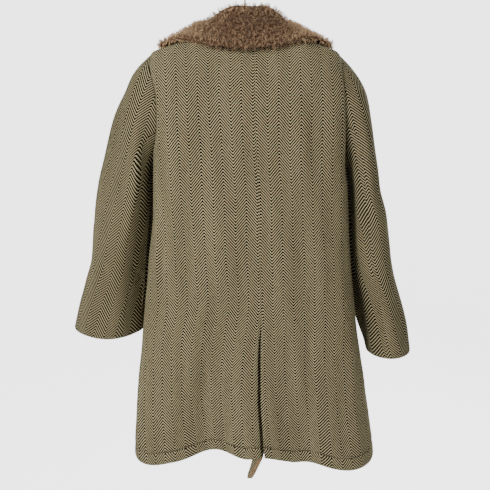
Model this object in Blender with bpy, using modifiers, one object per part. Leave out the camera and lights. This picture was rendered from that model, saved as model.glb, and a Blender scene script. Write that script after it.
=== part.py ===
"""Double breasted tweed coat with a wide fur collar, hanging from a plain hanger.

Metres, +Z up. The coat's back faces -Y and its front +Y, and the wearer's right is +X. The origin is the
inner top of the hanger's hook, where a rail carries it. Every panel is an open sheet on one body form,
which is worked out from level sections, and it gets its cloth thickness from a Solidify modifier.
"""

import math

import bmesh
import bpy
from mathutils import Vector

# Cloth and seams
WALL = 0.0028  # tweed with its interlining
SEAM = 0.0005  # gap between two pieces that are sewn together
FLY = 0.0008  # gap between two layers of cloth that lie on each other

# Body landmarks, heights below the hook
NECK_TOP = -0.118  # neck point, where the shoulder seam meets the collar
SHOULDER = -0.165  # shoulder point, top of the armhole
ARMPIT = -0.385
HEM = -1.055
VENT_TOP = -0.737
BACK_NECK_DROP = 0.012  # the centre back of the neck lies this much below the neck point
NECK_DROP_FROM = -0.30

# Cells of the body panels
SECTION_STEPS = 96  # fine steps of a level section, along which lengths are measured
PROBE = 0.0015  # half step over which the form's slope is measured
BACK_CELLS = 12
FRONT_CELLS = 11
OVERLAP_CELLS = 4  # those of the front that lie in the overlap
UNDERLAP_CELLS = 4
SKIRT_CELLS = 12  # from the hem to the armpit
ARMHOLE_CELLS = 8  # from the armpit to the shoulder point
YOKE_CELLS = 5  # from the shoulder point to the neck point

# Armhole half depths from front to back
ARMHOLE_DEPTH = {"back": 0.062, "front": 0.058}

# Double breasted front
FRONT_CENTRE = 0.0
OVERLAP = 0.085  # each front passes the centre by this much
OVER_EASE = 0.03  # width over which the over front comes down from the under front's edge
UNDERLAP_ROOM = 0.0012  # more room between the vent's edges and the underlap

# Buttons
BUTTON_RADIUS = 0.014
BUTTON_THICK = 0.0045
BUTTON_SHANK = 0.0012
BUTTON_GAP = 0.0004
BUTTON_OUT = 0.065  # each column lies this far from the centre front
BUTTON_ROWS = (-0.33, -0.47, -0.61)
BUTTON_STEPS = 14

# Collar
COLLAR_CLEAR = 0.0018  # under the fall, above the panels
COLLAR_SEAT = 0.0004  # over the panels' neck edges
COLLAR_FUR = 0.011  # fur and skin of the fall
COLLAR_CENTRE = 0.0015
RIDGE_EASE = 0.0006  # more room where the collar passes over the shoulder seam
RIDGE_WIDTH = 0.3  # in turns, to each side of the shoulder seam
COLLAR_STEPS = 12  # sections from the centre back to the shoulder, and on to the front end
COLLAR_GATHER = 1.25  # above 1 the sections lie closer together near the shoulder seam
FRONT_NECK_LOW = -0.177  # where the collar ends, at the centre front
FRONT_NECK_CURVE = 1.2

# Hanger
BAR_RADIUS = 0.0062
BAR_REACH = 0.166
BAR_TOP = -0.1079
BAR_SLOPE = 0.40
BAR_ROUND = 0.04  # how softly the bar turns over at its middle
BAR_CELLS = 22
WIRE_RADIUS = 0.0016
WIRE_GAP = 0.0003  # between the bar and the foot of the hook's stem
HOOK_RADIUS = 0.021
HOOK_ARC = (-42, 205)  # degrees, from the stem's side over the top to the tip
HOOK_CELLS = 14
STEM_CELLS = 3


class Table:
    """Rows of named columns, sorted on the first column, read along a smooth curve with no overshoot."""

    def __init__(self, columns, rows):
        self.columns = columns
        self.rows = sorted(rows)

    def value(self, name, at):
        column = self.columns.index(name)
        keys = [row[0] for row in self.rows]
        values = [row[column] for row in self.rows]
        if at <= keys[0]:
            return values[0]
        if at >= keys[-1]:
            return values[-1]
        grades = [
            (values[index + 1] - values[index]) / (keys[index + 1] - keys[index])
            for index in range(len(keys) - 1)
        ]
        low = max(index for index, key in enumerate(keys) if key <= at)
        width = keys[low + 1] - keys[low]
        share = (at - keys[low]) / width
        rise = values[low + 1] - values[low]
        start = even_grade(grades[max(low - 1, 0)], grades[low]) * width
        end = even_grade(grades[low], grades[min(low + 1, len(grades) - 1)]) * width
        return (
            values[low]
            + share * start
            + share**2 * (3 * rise - 2 * start - end)
            + share**3 * (start + end - 2 * rise)
        )


def even_grade(before, after):
    """A slope between two neighbouring grades, level where they turn round."""
    if before * after <= 0:
        return 0.0
    return 2 * before * after / (before + after)


# Level sections of the body: the two sides, the centre back seam, the depths of back and front
# from the shoulder line, and how square the section is (2 is an ellipse).
BODY = Table(
    ("z", "left", "right", "seam", "back", "front", "square"),
    (
        (-0.118, -0.083, 0.087, 0.014, 0.045, 0.040, 2.0),
        (-0.131, -0.116, 0.120, 0.016, 0.050, 0.044, 2.3),
        (-0.147, -0.157, 0.160, 0.018, 0.057, 0.051, 2.7),
        (-0.165, -0.202, 0.202, 0.019, 0.066, 0.060, 3.2),
        (-0.200, -0.206, 0.209, 0.020, 0.079, 0.070, 3.6),
        (-0.260, -0.199, 0.218, 0.021, 0.089, 0.079, 3.9),
        (-0.320, -0.194, 0.218, 0.022, 0.093, 0.083, 3.8),
        (-0.385, -0.199, 0.217, 0.025, 0.094, 0.085, 3.4),
        (-0.450, -0.201, 0.225, 0.028, 0.094, 0.086, 3.1),
        (-0.520, -0.205, 0.229, 0.030, 0.094, 0.086, 3.0),
        (-0.600, -0.215, 0.236, 0.033, 0.095, 0.087, 3.0),
        (-0.700, -0.226, 0.247, 0.036, 0.096, 0.088, 3.0),
        (-0.800, -0.236, 0.261, 0.031, 0.097, 0.089, 3.0),
        (-0.900, -0.247, 0.277, 0.031, 0.099, 0.090, 3.0),
        (-1.000, -0.254, 0.292, 0.036, 0.101, 0.091, 3.0),
        (-1.070, -0.257, 0.301, 0.041, 0.103, 0.092, 3.0),
    ),
)

# Hanging folds of the skirt. Centre and half width are shares of the way from the centre line to the
# side, depth is outwards, and lift raises the hem. Each fold starts at its top and deepens to the hem.
FOLD_GROWTH = 1.3
FOLD_COLUMNS = ("face", "side", "centre", "half", "depth", "lift", "top")
FOLDS = (
    ("back", -1, 0.32, 0.23, -0.024, 0.016, -0.80),
    ("back", -1, 0.80, 0.26, 0.010, -0.008, -0.62),
    ("back", -1, 0.02, 0.16, 0.006, 0.006, -0.74),
    ("back", 1, 0.02, 0.26, 0.006, 0.013, -0.74),
    ("back", 1, 0.72, 0.34, 0.016, -0.015, -0.66),
    ("back", 1, 0.34, 0.16, -0.006, 0.000, -0.86),
    ("front", -1, 0.62, 0.24, -0.014, 0.006, -0.76),
    ("front", 1, 0.70, 0.26, -0.012, 0.004, -0.80),
    ("front", 1, 0.50, 0.18, 0.009, -0.004, -0.72),
)

# Front edge of the under and over fronts: how far it lies from the centre line towards its own side.
FRONT_EDGE = Table(
    ("z", "distance"),
    (
        (-1.100, -0.085),
        (-0.240, -0.085),
        (-0.226, -0.080),
        (-0.200, -0.040),
        (-0.176, 0.022),
        (-0.165, 0.042),
        (-0.150, 0.058),
        (-0.135, 0.070),
        (-0.118, 0.082),
    ),
)

# The vent underlap: its two edges, measured from the centre back line, at each height.
UNDERLAP = Table(
    ("z", "left", "right"),
    (
        (-0.742, -0.028, 0.022),
        (-0.860, -0.030, 0.022),
        (-0.970, -0.030, 0.018),
        (-1.030, -0.026, 0.007),
        (-1.052, -0.024, 0.001),
        (-1.068, -0.028, -0.009),
        (-1.082, -0.032, -0.019),
        (-1.094, -0.035, -0.028),
    ),
)

# The vent: how far its two edges stand apart at each height.
VENT = Table(
    ("z", "gap"),
    ((-1.060, 0.0050), (-0.950, 0.0040), (-0.850, 0.0052), (-0.780, 0.0040), (-0.737, 0.0005)),
)

# The collar, from the centre back (turn 0) over the shoulder (turn 1) to its front end (turn 2): where
# its outer edge lies on the body, and how high it stands above the neck seam.
COLLAR = Table(
    ("turn", "edge_x", "edge_z", "stand"),
    (
        (0.00, 0.000, -0.1720, 0.0535),
        (0.20, 0.036, -0.1700, 0.0530),
        (0.40, 0.070, -0.1650, 0.0430),
        (0.60, 0.104, -0.1565, 0.0300),
        (0.80, 0.138, -0.1510, 0.0210),
        (0.92, 0.158, -0.1520, 0.0170),
        (1.00, 0.1722, -0.1515, 0.016),
        (1.05, 0.1715, -0.1535, 0.016),
        (1.12, 0.1720, -0.1640, 0.016),
        (1.25, 0.1650, -0.1900, 0.016),
        (1.45, 0.1490, -0.2220, 0.016),
        (1.65, 0.1270, -0.2500, 0.016),
        (1.85, 0.1020, -0.2690, 0.016),
        (2.00, 0.0800, -0.2760, 0.015),
    ),
)
COLLAR_UNDER = (0.12, 0.35, 0.65, 0.92)  # shares of the fall, down its under face
COLLAR_OVER = (0.90, 0.65, 0.40, 0.20)  # and back up its fur face
COLLAR_CREST = ((1.00, -0.009), (0.98, -0.002), (0.80, 0.004), (0.40, 0.0035))  # share of the stand, inwards

# Sleeve sections from the armhole to the cuff: the outer and the inner point of each, the depths to the
# back and the front, where across the section its back bulges most (0.5 is the middle), how steeply the
# back falls in behind that ridge (1 is round), and how far the inner front side swings to the body.
SLEEVE_COLUMNS = ("row", "outer_x", "outer_z", "inner_x", "inner_z", "back", "front", "ridge", "fall", "swing")
SLEEVE_LEFT = Table(
    SLEEVE_COLUMNS,
    (
        (0, -0.2020, -0.165, -0.1990, -0.385, 0.062, 0.058, 0.50, 1.0, 0.000),
        (1, -0.2150, -0.173, -0.2010, -0.389, 0.062, 0.058, 0.50, 1.0, 0.000),
        (2, -0.2310, -0.189, -0.2030, -0.393, 0.061, 0.058, 0.52, 1.0, 0.000),
        (3, -0.2450, -0.213, -0.2050, -0.397, 0.060, 0.058, 0.55, 1.0, 0.000),
        (4, -0.2575, -0.239, -0.2068, -0.401, 0.059, 0.057, 0.60, 1.0, 0.004),
        (5, -0.2720, -0.266, -0.2082, -0.406, 0.057, 0.057, 0.66, 1.1, 0.011),
        (6, -0.2880, -0.302, -0.2095, -0.413, 0.056, 0.056, 0.72, 1.3, 0.015),
        (7, -0.3010, -0.345, -0.2105, -0.425, 0.055, 0.056, 0.77, 1.6, 0.018),
        (8, -0.3150, -0.395, -0.2120, -0.447, 0.054, 0.056, 0.79, 2.2, 0.020),
        (9, -0.3290, -0.450, -0.2135, -0.482, 0.053, 0.056, 0.77, 3.0, 0.021),
        (10, -0.3390, -0.510, -0.2170, -0.530, 0.052, 0.056, 0.71, 3.8, 0.022),
        (11, -0.3455, -0.570, -0.2225, -0.580, 0.050, 0.055, 0.65, 4.4, 0.022),
        (12, -0.3495, -0.610, -0.2270, -0.625, 0.048, 0.054, 0.60, 4.2, 0.021),
        (13, -0.3650, -0.660, -0.2305, -0.672, 0.047, 0.052, 0.57, 3.4, 0.021),
        (14, -0.3800, -0.710, -0.2350, -0.720, 0.050, 0.052, 0.56, 2.6, 0.021),
        (15, -0.3960, -0.770, -0.2400, -0.779, 0.058, 0.052, 0.56, 2.0, 0.020),
    ),
)
SLEEVE_RIGHT = Table(
    SLEEVE_COLUMNS,
    (
        (0, 0.2020, -0.165, 0.2170, -0.385, 0.062, 0.058, 0.50, 1.0, 0.000),
        (1, 0.2125, -0.173, 0.2192, -0.389, 0.063, 0.059, 0.50, 1.0, 0.000),
        (2, 0.2265, -0.188, 0.2212, -0.393, 0.064, 0.060, 0.50, 1.0, 0.000),
        (3, 0.2415, -0.209, 0.2232, -0.397, 0.065, 0.061, 0.50, 1.0, 0.000),
        (4, 0.2550, -0.233, 0.2250, -0.402, 0.066, 0.062, 0.50, 1.0, 0.004),
        (5, 0.2630, -0.257, 0.2268, -0.408, 0.067, 0.063, 0.50, 1.0, 0.009),
        (6, 0.2710, -0.295, 0.2285, -0.416, 0.068, 0.064, 0.50, 1.0, 0.010),
        (7, 0.2790, -0.340, 0.2305, -0.430, 0.069, 0.065, 0.50, 1.0, 0.010),
        (8, 0.2880, -0.390, 0.2330, -0.455, 0.069, 0.066, 0.50, 1.0, 0.011),
        (9, 0.2970, -0.445, 0.2360, -0.495, 0.068, 0.066, 0.50, 1.0, 0.012),
        (10, 0.3150, -0.505, 0.2400, -0.540, 0.066, 0.066, 0.50, 1.0, 0.015),
        (11, 0.3240, -0.565, 0.2440, -0.590, 0.064, 0.066, 0.50, 1.0, 0.016),
        (12, 0.3335, -0.625, 0.2520, -0.645, 0.062, 0.065, 0.50, 1.0, 0.019),
        (13, 0.3530, -0.690, 0.2680, -0.705, 0.060, 0.064, 0.50, 1.0, 0.023),
        (14, 0.3720, -0.755, 0.2770, -0.765, 0.060, 0.062, 0.50, 1.0, 0.008),
        (15, 0.3840, -0.820, 0.2840, -0.828, 0.062, 0.060, 0.50, 1.0, 0.000),
    ),
)
SWING_TURN = (1.25, 0.25)  # middle and half width of the inner front side, in half turns from the top
SLEEVES = {-1: SLEEVE_LEFT, 1: SLEEVE_RIGHT}
SLEEVE_LAST = 15  # the table's row at the cuff
SLEEVE_CELLS = 20
UPPER_CELLS = 11
UNDER_CELLS = 7
SLEEVE_SEAM = {-1: 0.66, 1: 0.60}  # where the back seam lies, as a share of the half turn from the top
SLEEVE_FRONT_SEAM = 0.62  # the same for the front seam
SLEEVE_SLIT = 0.006  # half the turn between the two pieces at a seam
SLEEVE_TUCK = 0.03  # turn of the narrow cell at each seam
SLEEVE_SETTLE = 4  # rows over which the armhole's curve fades into the sleeve's own sections
SLEEVE_CAP = 0.0016  # the cap's first row stands out by this much
SLEEVE_CAP_ROWS = 2


def clear_scene():
    for item in list(bpy.data.objects):
        bpy.data.objects.remove(item)


def new_collection(name):
    collection = bpy.data.collections.new(name)
    bpy.context.scene.collection.children.link(collection)
    return collection


def new_material(name, colour, roughness, metallic=0.0):
    material = bpy.data.materials.new(name)
    material.use_nodes = True
    shader = material.node_tree.nodes["Principled BSDF"]
    shader.inputs["Base Color"].default_value = (*colour, 1.0)
    shader.inputs["Roughness"].default_value = roughness
    shader.inputs["Metallic"].default_value = metallic
    return material


def add_object(collection, name, data, material):
    item = bpy.data.objects.new(name, data)
    item.data.materials.append(material)
    collection.objects.link(item)
    return item


def mesh_from_grid(name, grid):
    """A sheet through rows of points, its quads cut along their shorter diagonals."""
    form = bmesh.new()
    rows = [[form.verts.new(point) for point in row] for row in grid]
    for low, high in zip(rows, rows[1:]):
        for column in range(len(low) - 1):
            form.faces.new((low[column], low[column + 1], high[column + 1], high[column]))
    bmesh.ops.triangulate(form, faces=form.faces[:], quad_method="SHORT_EDGE")
    mesh = bpy.data.meshes.new(name)
    form.to_mesh(mesh)
    form.free()
    mesh.shade_smooth()
    return mesh


def cloth_sheet(collection, name, grid, material):
    """An open sheet whose faces point outwards, thickened inwards."""
    item = add_object(collection, name, mesh_from_grid(name, grid), material)
    thick = item.modifiers.new("Cloth", "SOLIDIFY")
    thick.thickness = WALL
    thick.offset = -1.0
    thick.use_even_offset = False


def mix(low, high, share):
    return low + (high - low) * share


def soft_bump(distance):
    """1 at the middle, 0 from 1 outwards, smooth at both."""
    return (1 + math.cos(math.pi * min(abs(distance), 1.0))) / 2


# The body form
def section_line(z, side, face):
    """A quarter of the level section, from the centre line to the side: points and lengths along it."""
    centre = BODY.value("seam", z) if face == "back" else FRONT_CENTRE
    reach = BODY.value("right" if side > 0 else "left", z) - centre
    depth = BODY.value(face, z) * (-1 if face == "back" else 1)
    power = 2 / BODY.value("square", z)
    points = []
    lengths = [0.0]
    for step in range(SECTION_STEPS + 1):
        turn = math.pi / 2 * step / SECTION_STEPS
        points.append(Vector((centre + reach * math.sin(turn) ** power, depth * math.cos(turn) ** power, z)))
        if step:
            lengths.append(lengths[-1] + (points[step] - points[step - 1]).length)
    return points, lengths


def along(points, lengths, length):
    """The point at a length along a line, and the line's direction there."""
    low = 0
    while low < len(points) - 2 and lengths[low + 1] < length:
        low += 1
    step = points[low + 1] - points[low]
    return points[low] + step * (length - lengths[low]) / step.length, step.normalized()


def fold_move(z, side, face, share):
    """How far the hanging folds move the cloth out, and how much they raise it."""
    out = 0.0
    lift = 0.0
    for row in FOLDS:
        fold = dict(zip(FOLD_COLUMNS, row))
        if fold["face"] != face or z > fold["top"]:
            continue
        distance = (share * side - fold["centre"] * fold["side"]) / fold["half"]
        deepen = ((fold["top"] - z) / (fold["top"] - HEM)) ** FOLD_GROWTH
        out += fold["depth"] * soft_bump(distance) * deepen
        lift += fold["lift"] * soft_bump(distance) * deepen
    return out, lift


def body_point(z, face, distance, out=0.0):
    """The point on the body form at a signed distance from the centre line, moved out in plan."""
    side = 1 if distance >= 0 else -1
    points, lengths = section_line(z, side, face)
    point, step = along(points, lengths, abs(distance))
    outward = Vector((step.y, -step.x, 0)) * side * (1 if face == "back" else -1)
    move, lift = fold_move(z, side, face, abs(distance) / lengths[-1])
    return point + outward * (move + out) + Vector((0, 0, lift))


def surface_point(z, face, distance, out):
    """The same, moved out along the form's true normal."""
    across = body_point(z, face, distance + PROBE) - body_point(z, face, distance - PROBE)
    up = body_point(z + PROBE, face, distance) - body_point(z - PROBE, face, distance)
    normal = across.cross(up).normalized() * (1 if face == "back" else -1)
    return body_point(z, face, distance) + normal * out


def side_length(z, side, face):
    return section_line(z, side, face)[1][-1]


def armhole_reach(z):
    """Share of the armhole's half depth at a height: 0 at the shoulder point and the armpit."""
    if not ARMPIT < z < SHOULDER:
        return 0.0
    down = (SHOULDER - z) / (SHOULDER - ARMPIT)
    return math.sin(math.acos(1 - 2 * down))


def edge_distance(z, side, face):
    """From the centre line to the side seam, the armhole's edge or the shoulder seam."""
    points, lengths = section_line(z, side, face)
    limit = ARMHOLE_DEPTH[face] * armhole_reach(z)
    for index in range(1, len(points)):
        if abs(points[index].y) <= limit:
            before, here = abs(points[index - 1].y), abs(points[index].y)
            share = (before - limit) / (before - here)
            return mix(lengths[index - 1], lengths[index], share)
    return lengths[-1]


def body_rows():
    """Heights of the panels' rows, closer together at the armpit and the shoulder point."""
    skirt = panel_spread(HEM, ARMPIT, SKIRT_CELLS)[:-1]
    turns = panel_spread(math.pi, 0.0, ARMHOLE_CELLS)
    armhole = [armhole_height(turn) for turn in turns]
    yoke = panel_spread(SHOULDER, NECK_TOP, YOKE_CELLS)[1:]
    return skirt + armhole + yoke


def armhole_height(turn):
    """From the shoulder point at 0 to the armpit at pi."""
    return mix(SHOULDER, ARMPIT, (1 - math.cos(turn)) / 2)


def panel_spread(start, end, count):
    return [mix(start, end, column / count) for column in range(count + 1)]


def back_panel(side):
    """Half of the back, from the centre back seam or vent to the side, armhole and shoulder."""
    grid = []
    for z in body_rows():
        gap = VENT.value("gap", z) if z < VENT_TOP else SEAM
        end = edge_distance(z, side, "back") - SEAM
        row = []
        for distance in panel_spread(gap / 2, end, BACK_CELLS):
            height = z - neck_drop(z, distance / end)
            scale = edge_distance(height, side, "back") / edge_distance(z, side, "back")
            row.append(body_point(height, "back", side * distance * scale))
        grid.append(row if side > 0 else row[::-1])
    return grid


def neck_drop(z, share):
    """The back neck dips between the neck points."""
    if z < NECK_DROP_FROM:
        return 0.0
    rise = (z - NECK_DROP_FROM) / (NECK_TOP - NECK_DROP_FROM)
    return BACK_NECK_DROP * (1 - share**2) * rise**2


def over_lift(distance):
    """The over front lies on the under front as far as the overlap reaches, then comes down to the body."""
    past = (distance - OVERLAP - FLY) / OVER_EASE
    return (WALL + FLY) * soft_bump(max(past, 0.0))


def front_panel(side):
    """One front, from its edge past the centre to the side, armhole and shoulder."""
    grid = []
    for z in body_rows():
        start = FRONT_EDGE.value("distance", z)
        end = edge_distance(z, side, "front") - SEAM
        inner = mix(OVERLAP, mix(start, end, 0.4), min((start + OVERLAP) / OVERLAP, 1.0))
        spread = panel_spread(start, inner, OVERLAP_CELLS)
        spread += panel_spread(inner, end, FRONT_CELLS - OVERLAP_CELLS)[1:]
        row = []
        for distance in spread:
            out = over_lift(distance) if side > 0 else 0.0
            row.append(body_point(z, "front", side * distance, out))
        grid.append(row[::-1] if side > 0 else row)
    return grid


def underlap_panel():
    """The strip behind the vent, with its loose corner below the hem."""
    grid = []
    for height, left, right in UNDERLAP.rows:
        z = max(height, HEM)
        row = []
        for distance in panel_spread(left, right, UNDERLAP_CELLS):
            point = body_point(z, "back", distance, -(WALL + FLY + UNDERLAP_ROOM))
            row.append(point + Vector((0, 0, height - z)))
        grid.append(row)
    return grid


# Sleeves
def armhole_point(side, turn):
    """On the armhole's edge: turn 0 at the shoulder point, pi at the armpit, by way of the back."""
    face = "back" if turn <= math.pi else "front"
    z = armhole_height(turn)
    distance = edge_distance(z, side, face)
    return body_point(z, face, side * distance)


def sleeve_ellipse(side, row, turn):
    """On the sleeve's own section at a row of its table."""
    table = SLEEVES[side]
    outer = Vector((table.value("outer_x", row), 0, table.value("outer_z", row)))
    inner = Vector((table.value("inner_x", row), 0, table.value("inner_z", row)))
    across = (1 - math.cos(turn)) / 2
    bulge = abs(math.sin(turn))
    if turn <= math.pi:
        across **= math.log(table.value("ridge", row)) / math.log(0.5)
        depth = -table.value("back", row)
    else:
        depth = table.value("front", row)
    if math.pi / 2 < turn <= math.pi:
        bulge **= table.value("fall", row)
    point = outer + (inner - outer) * across
    middle, half = SWING_TURN
    point.x -= side * table.value("swing", row) * soft_bump((turn / math.pi - middle) / half)
    point.y = depth * bulge
    return point


def sleeve_point(side, row, turn):
    """The sleeve leaves the armhole's own curve and settles into its sections within a few rows."""
    edge = armhole_point(side, turn) - sleeve_ellipse(side, 0, turn)
    fade = max(0.0, 1 - row / SLEEVE_SETTLE) ** 2
    cap = Vector((side * SLEEVE_CAP, 0, 0)) * max(0.0, 1 - row / SLEEVE_CAP_ROWS)
    return sleeve_ellipse(side, row, turn) + edge * fade + cap


def sleeve_grid(side, turns):
    grid = []
    for row in panel_spread(0, SLEEVE_LAST, SLEEVE_CELLS):
        grid.append([sleeve_point(side, row, turn % (2 * math.pi)) for turn in turns])
    return grid if side > 0 else [line[::-1] for line in grid]


def sleeve_turns(side):
    """The turns of the upper and of the under sleeve, parted by the two seams."""
    back = math.pi * SLEEVE_SEAM[side]
    front = -math.pi * SLEEVE_FRONT_SEAM
    upper = seam_spread(front, back, UPPER_CELLS)
    return upper, seam_spread(back, front + 2 * math.pi, UNDER_CELLS)


def seam_spread(start, end, cells):
    """Turns between two seams, with a narrow cell at each so that both walls stand alike there."""
    start += SLEEVE_SLIT
    end -= SLEEVE_SLIT
    return [start, *panel_spread(start + SLEEVE_TUCK, end - SLEEVE_TUCK, cells), end]


# Collar
def neck_seat(side, turn):
    """Height and distance on the body of the neck seam under a collar station."""
    if turn <= 1:
        z = NECK_TOP - neck_drop(NECK_TOP, turn)
        return "back", z, turn * side_length(z, side, "back")
    z = mix(NECK_TOP, FRONT_NECK_LOW, (turn - 1) ** FRONT_NECK_CURVE)
    return "front", z, FRONT_EDGE.value("distance", z)


def edge_seat(side, face, x, z):
    """Distance along the body at which the form reaches a sideways place."""
    points, lengths = section_line(z, side, face)
    for index, point in enumerate(points):
        if side * (point.x - COLLAR_CENTRE) >= x:
            return lengths[index]
    return lengths[-1]


def collar_ring(side, turn):
    """One closed section of the collar: under face, rolled edge, fur face, crest, inner face."""
    face, neck_z, neck_distance = neck_seat(side, turn)
    edge_z = COLLAR.value("edge_z", turn)
    fall_end = edge_seat(side, face, COLLAR.value("edge_x", turn), edge_z)
    stand = COLLAR.value("stand", turn)
    neck_share = neck_distance / side_length(neck_z, side, face)
    edge_share = fall_end / side_length(edge_z, side, face)
    ridge_ease = RIDGE_EASE * soft_bump((turn - 1) / RIDGE_WIDTH)

    def on_body(share, out):
        z = mix(neck_z, edge_z, share)
        distance = mix(neck_share, edge_share, share) * side_length(z, side, face)
        cover = over_lift(distance) if face == "front" else 0.0
        return surface_point(z, face, side * distance, out + cover + ridge_ease)

    up = Vector((0, 0, 1))
    neck = on_body(0.0, 0.0) + up * COLLAR_SEAT
    inward = Vector((COLLAR_CENTRE - neck.x, -neck.y, 0)).normalized()
    ring = [neck + inward * WALL]
    ring.append(on_body(0.0, COLLAR_CLEAR * 0.8) + up * COLLAR_SEAT)
    for share in COLLAR_UNDER:
        ring.append(on_body(share, COLLAR_CLEAR))
    ring.append(on_body(1.0, COLLAR_CLEAR + COLLAR_FUR * 0.25))
    ring.append(on_body(1.01, COLLAR_CLEAR + COLLAR_FUR * 0.7))
    for share in COLLAR_OVER:
        lean = up * (stand - COLLAR_FUR) * (1 - share) ** 3
        ring.append(on_body(share, COLLAR_CLEAR + COLLAR_FUR) + lean)
    for share, inwards in COLLAR_CREST:
        ring.append(neck + up * stand * share + inward * inwards)
    return ring


def build_collar(collection, material):
    """One closed body through all the sections, from one front end round the back to the other."""
    spread = panel_spread(-1, 1, 2 * COLLAR_STEPS)
    turns = [1 + math.copysign(abs(share) ** COLLAR_GATHER, share) for share in spread]
    rings = [collar_ring(-1, turn) for turn in reversed(turns)]
    rings += [collar_ring(1, turn) for turn in turns[1:]]
    middle = len(turns) - 1
    right_seat = collar_ring(1, 0.0)
    rings[middle] = [(left + right) / 2 for left, right in zip(rings[middle], right_seat)]
    form = bmesh.new()
    rows = [[form.verts.new(point) for point in ring] for ring in rings]
    count = len(rows[0])
    for low, high in zip(rows, rows[1:]):
        for column in range(count):
            beside = (column + 1) % count
            form.faces.new((low[column], high[column], high[beside], low[beside]))
    form.faces.new(rows[0])
    form.faces.new(rows[-1][::-1])
    bmesh.ops.triangulate(form, faces=form.faces[:], quad_method="SHORT_EDGE")
    bmesh.ops.recalc_face_normals(form, faces=form.faces)
    mesh = bpy.data.meshes.new("fur_collar")
    form.to_mesh(mesh)
    form.free()
    mesh.shade_smooth()
    add_object(collection, "fur_collar", mesh, material)


# Buttons and hanger
def build_buttons(collection, material):
    """Turned buttons, each standing square on the over front by its shank."""
    profile = (
        (0.0000, BUTTON_SHANK + BUTTON_THICK * 0.70),
        (BUTTON_RADIUS * 0.62, BUTTON_SHANK + BUTTON_THICK * 0.70),
        (BUTTON_RADIUS * 0.78, BUTTON_SHANK + BUTTON_THICK),
        (BUTTON_RADIUS * 0.93, BUTTON_SHANK + BUTTON_THICK),
        (BUTTON_RADIUS, BUTTON_SHANK + BUTTON_THICK * 0.55),
        (BUTTON_RADIUS * 0.90, BUTTON_SHANK),
        (BUTTON_RADIUS * 0.30, BUTTON_SHANK),
        (BUTTON_RADIUS * 0.26, 0.0),
        (0.0000, 0.0),
    )
    number = 0
    for column in (-1, 1):
        for z in BUTTON_ROWS:
            number += 1
            distance = column * BUTTON_OUT
            lift = over_lift(distance)
            foot = surface_point(z, "front", distance, lift + BUTTON_GAP)
            tip = surface_point(z, "front", distance, lift + BUTTON_GAP + BUTTON_THICK)
            mesh = bpy.data.meshes.new(f"button_{number}")
            points = [(radius, 0, height) for radius, height in profile]
            edges = [(index, index + 1) for index in range(len(points) - 1)]
            mesh.from_pydata(points, edges, [])
            item = add_object(collection, f"button_{number}", mesh, material)
            item.location = foot
            item.rotation_mode = "QUATERNION"
            item.rotation_quaternion = (tip - foot).to_track_quat("Z", "Y")
            turned = item.modifiers.new("Turned", "SCREW")
            turned.steps = BUTTON_STEPS
            turned.render_steps = BUTTON_STEPS
            turned.use_merge_vertices = True
            turned.merge_threshold = 0.00005
            turned.use_smooth_shade = True


def add_tube(collection, name, points, radius, material, sides):
    curve = bpy.data.curves.new(name, "CURVE")
    curve.dimensions = "3D"
    curve.bevel_depth = radius
    curve.bevel_resolution = sides
    curve.use_fill_caps = True
    spline = curve.splines.new("POLY")
    spline.points.add(len(points) - 1)
    for slot, point in zip(spline.points, points):
        slot.co = (*point, 1.0)
    return add_object(collection, name, curve, material)


def bar_height(x):
    return BAR_TOP - BAR_SLOPE * (math.hypot(x, BAR_ROUND) - BAR_ROUND)


def build_hanger(collection, wood, steel):
    """A sloped bar under the shoulders, and a wire that rises from it and turns over into the hook."""
    places = panel_spread(-BAR_REACH, BAR_REACH, BAR_CELLS)
    bar = [Vector((x + COLLAR_CENTRE, 0, bar_height(x))) for x in places]
    add_tube(collection, "hanger_bar", bar, BAR_RADIUS, wood, 2)
    foot = bar_height(0) + BAR_RADIUS + WIRE_GAP
    centre = Vector((0, 0, WIRE_RADIUS - HOOK_RADIUS))
    stem = panel_spread(foot, centre.z - HOOK_RADIUS * 1.5, STEM_CELLS)
    wire = [Vector((0, 0, height)) for height in stem]
    wire.append(Vector((HOOK_RADIUS * 0.30, 0, centre.z - HOOK_RADIUS * 1.22)))
    for degrees in panel_spread(*HOOK_ARC, HOOK_CELLS):
        turn = math.radians(degrees)
        wire.append(centre + HOOK_RADIUS * Vector((math.cos(turn), 0, math.sin(turn))))
    add_tube(collection, "hanger_hook", wire, WIRE_RADIUS, steel, 2)


def main():
    clear_scene()
    coat = new_collection("double_breasted_coat")
    new_collection("cutters")
    tweed_back = new_material("tweed_back", (0.20, 0.17, 0.10), 0.92)
    tweed_front = new_material("tweed_front", (0.20, 0.17, 0.10), 0.92)
    tweed_sleeve = new_material("tweed_sleeve", (0.18, 0.15, 0.09), 0.92)
    fur = new_material("collar_fur", (0.16, 0.085, 0.045), 0.95)
    horn = new_material("button_horn", (0.08, 0.045, 0.025), 0.4)
    wood = new_material("hanger_wood", (0.45, 0.30, 0.17), 0.5)
    steel = new_material("hook_steel", (0.55, 0.55, 0.56), 0.3, 1.0)

    cloth_sheet(coat, "back_left", back_panel(-1), tweed_back)
    cloth_sheet(coat, "back_right", back_panel(1), tweed_back)
    cloth_sheet(coat, "vent_underlap", underlap_panel(), tweed_back)
    cloth_sheet(coat, "front_left", front_panel(-1), tweed_front)
    cloth_sheet(coat, "front_right", front_panel(1), tweed_front)
    for side, name in ((-1, "left"), (1, "right")):
        upper, under = sleeve_turns(side)
        cloth_sheet(coat, f"upper_sleeve_{name}", sleeve_grid(side, upper), tweed_sleeve)
        cloth_sheet(coat, f"under_sleeve_{name}", sleeve_grid(side, under), tweed_sleeve)
    build_collar(coat, fur)
    build_buttons(coat, horn)
    build_hanger(coat, wood, steel)


main()
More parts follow.
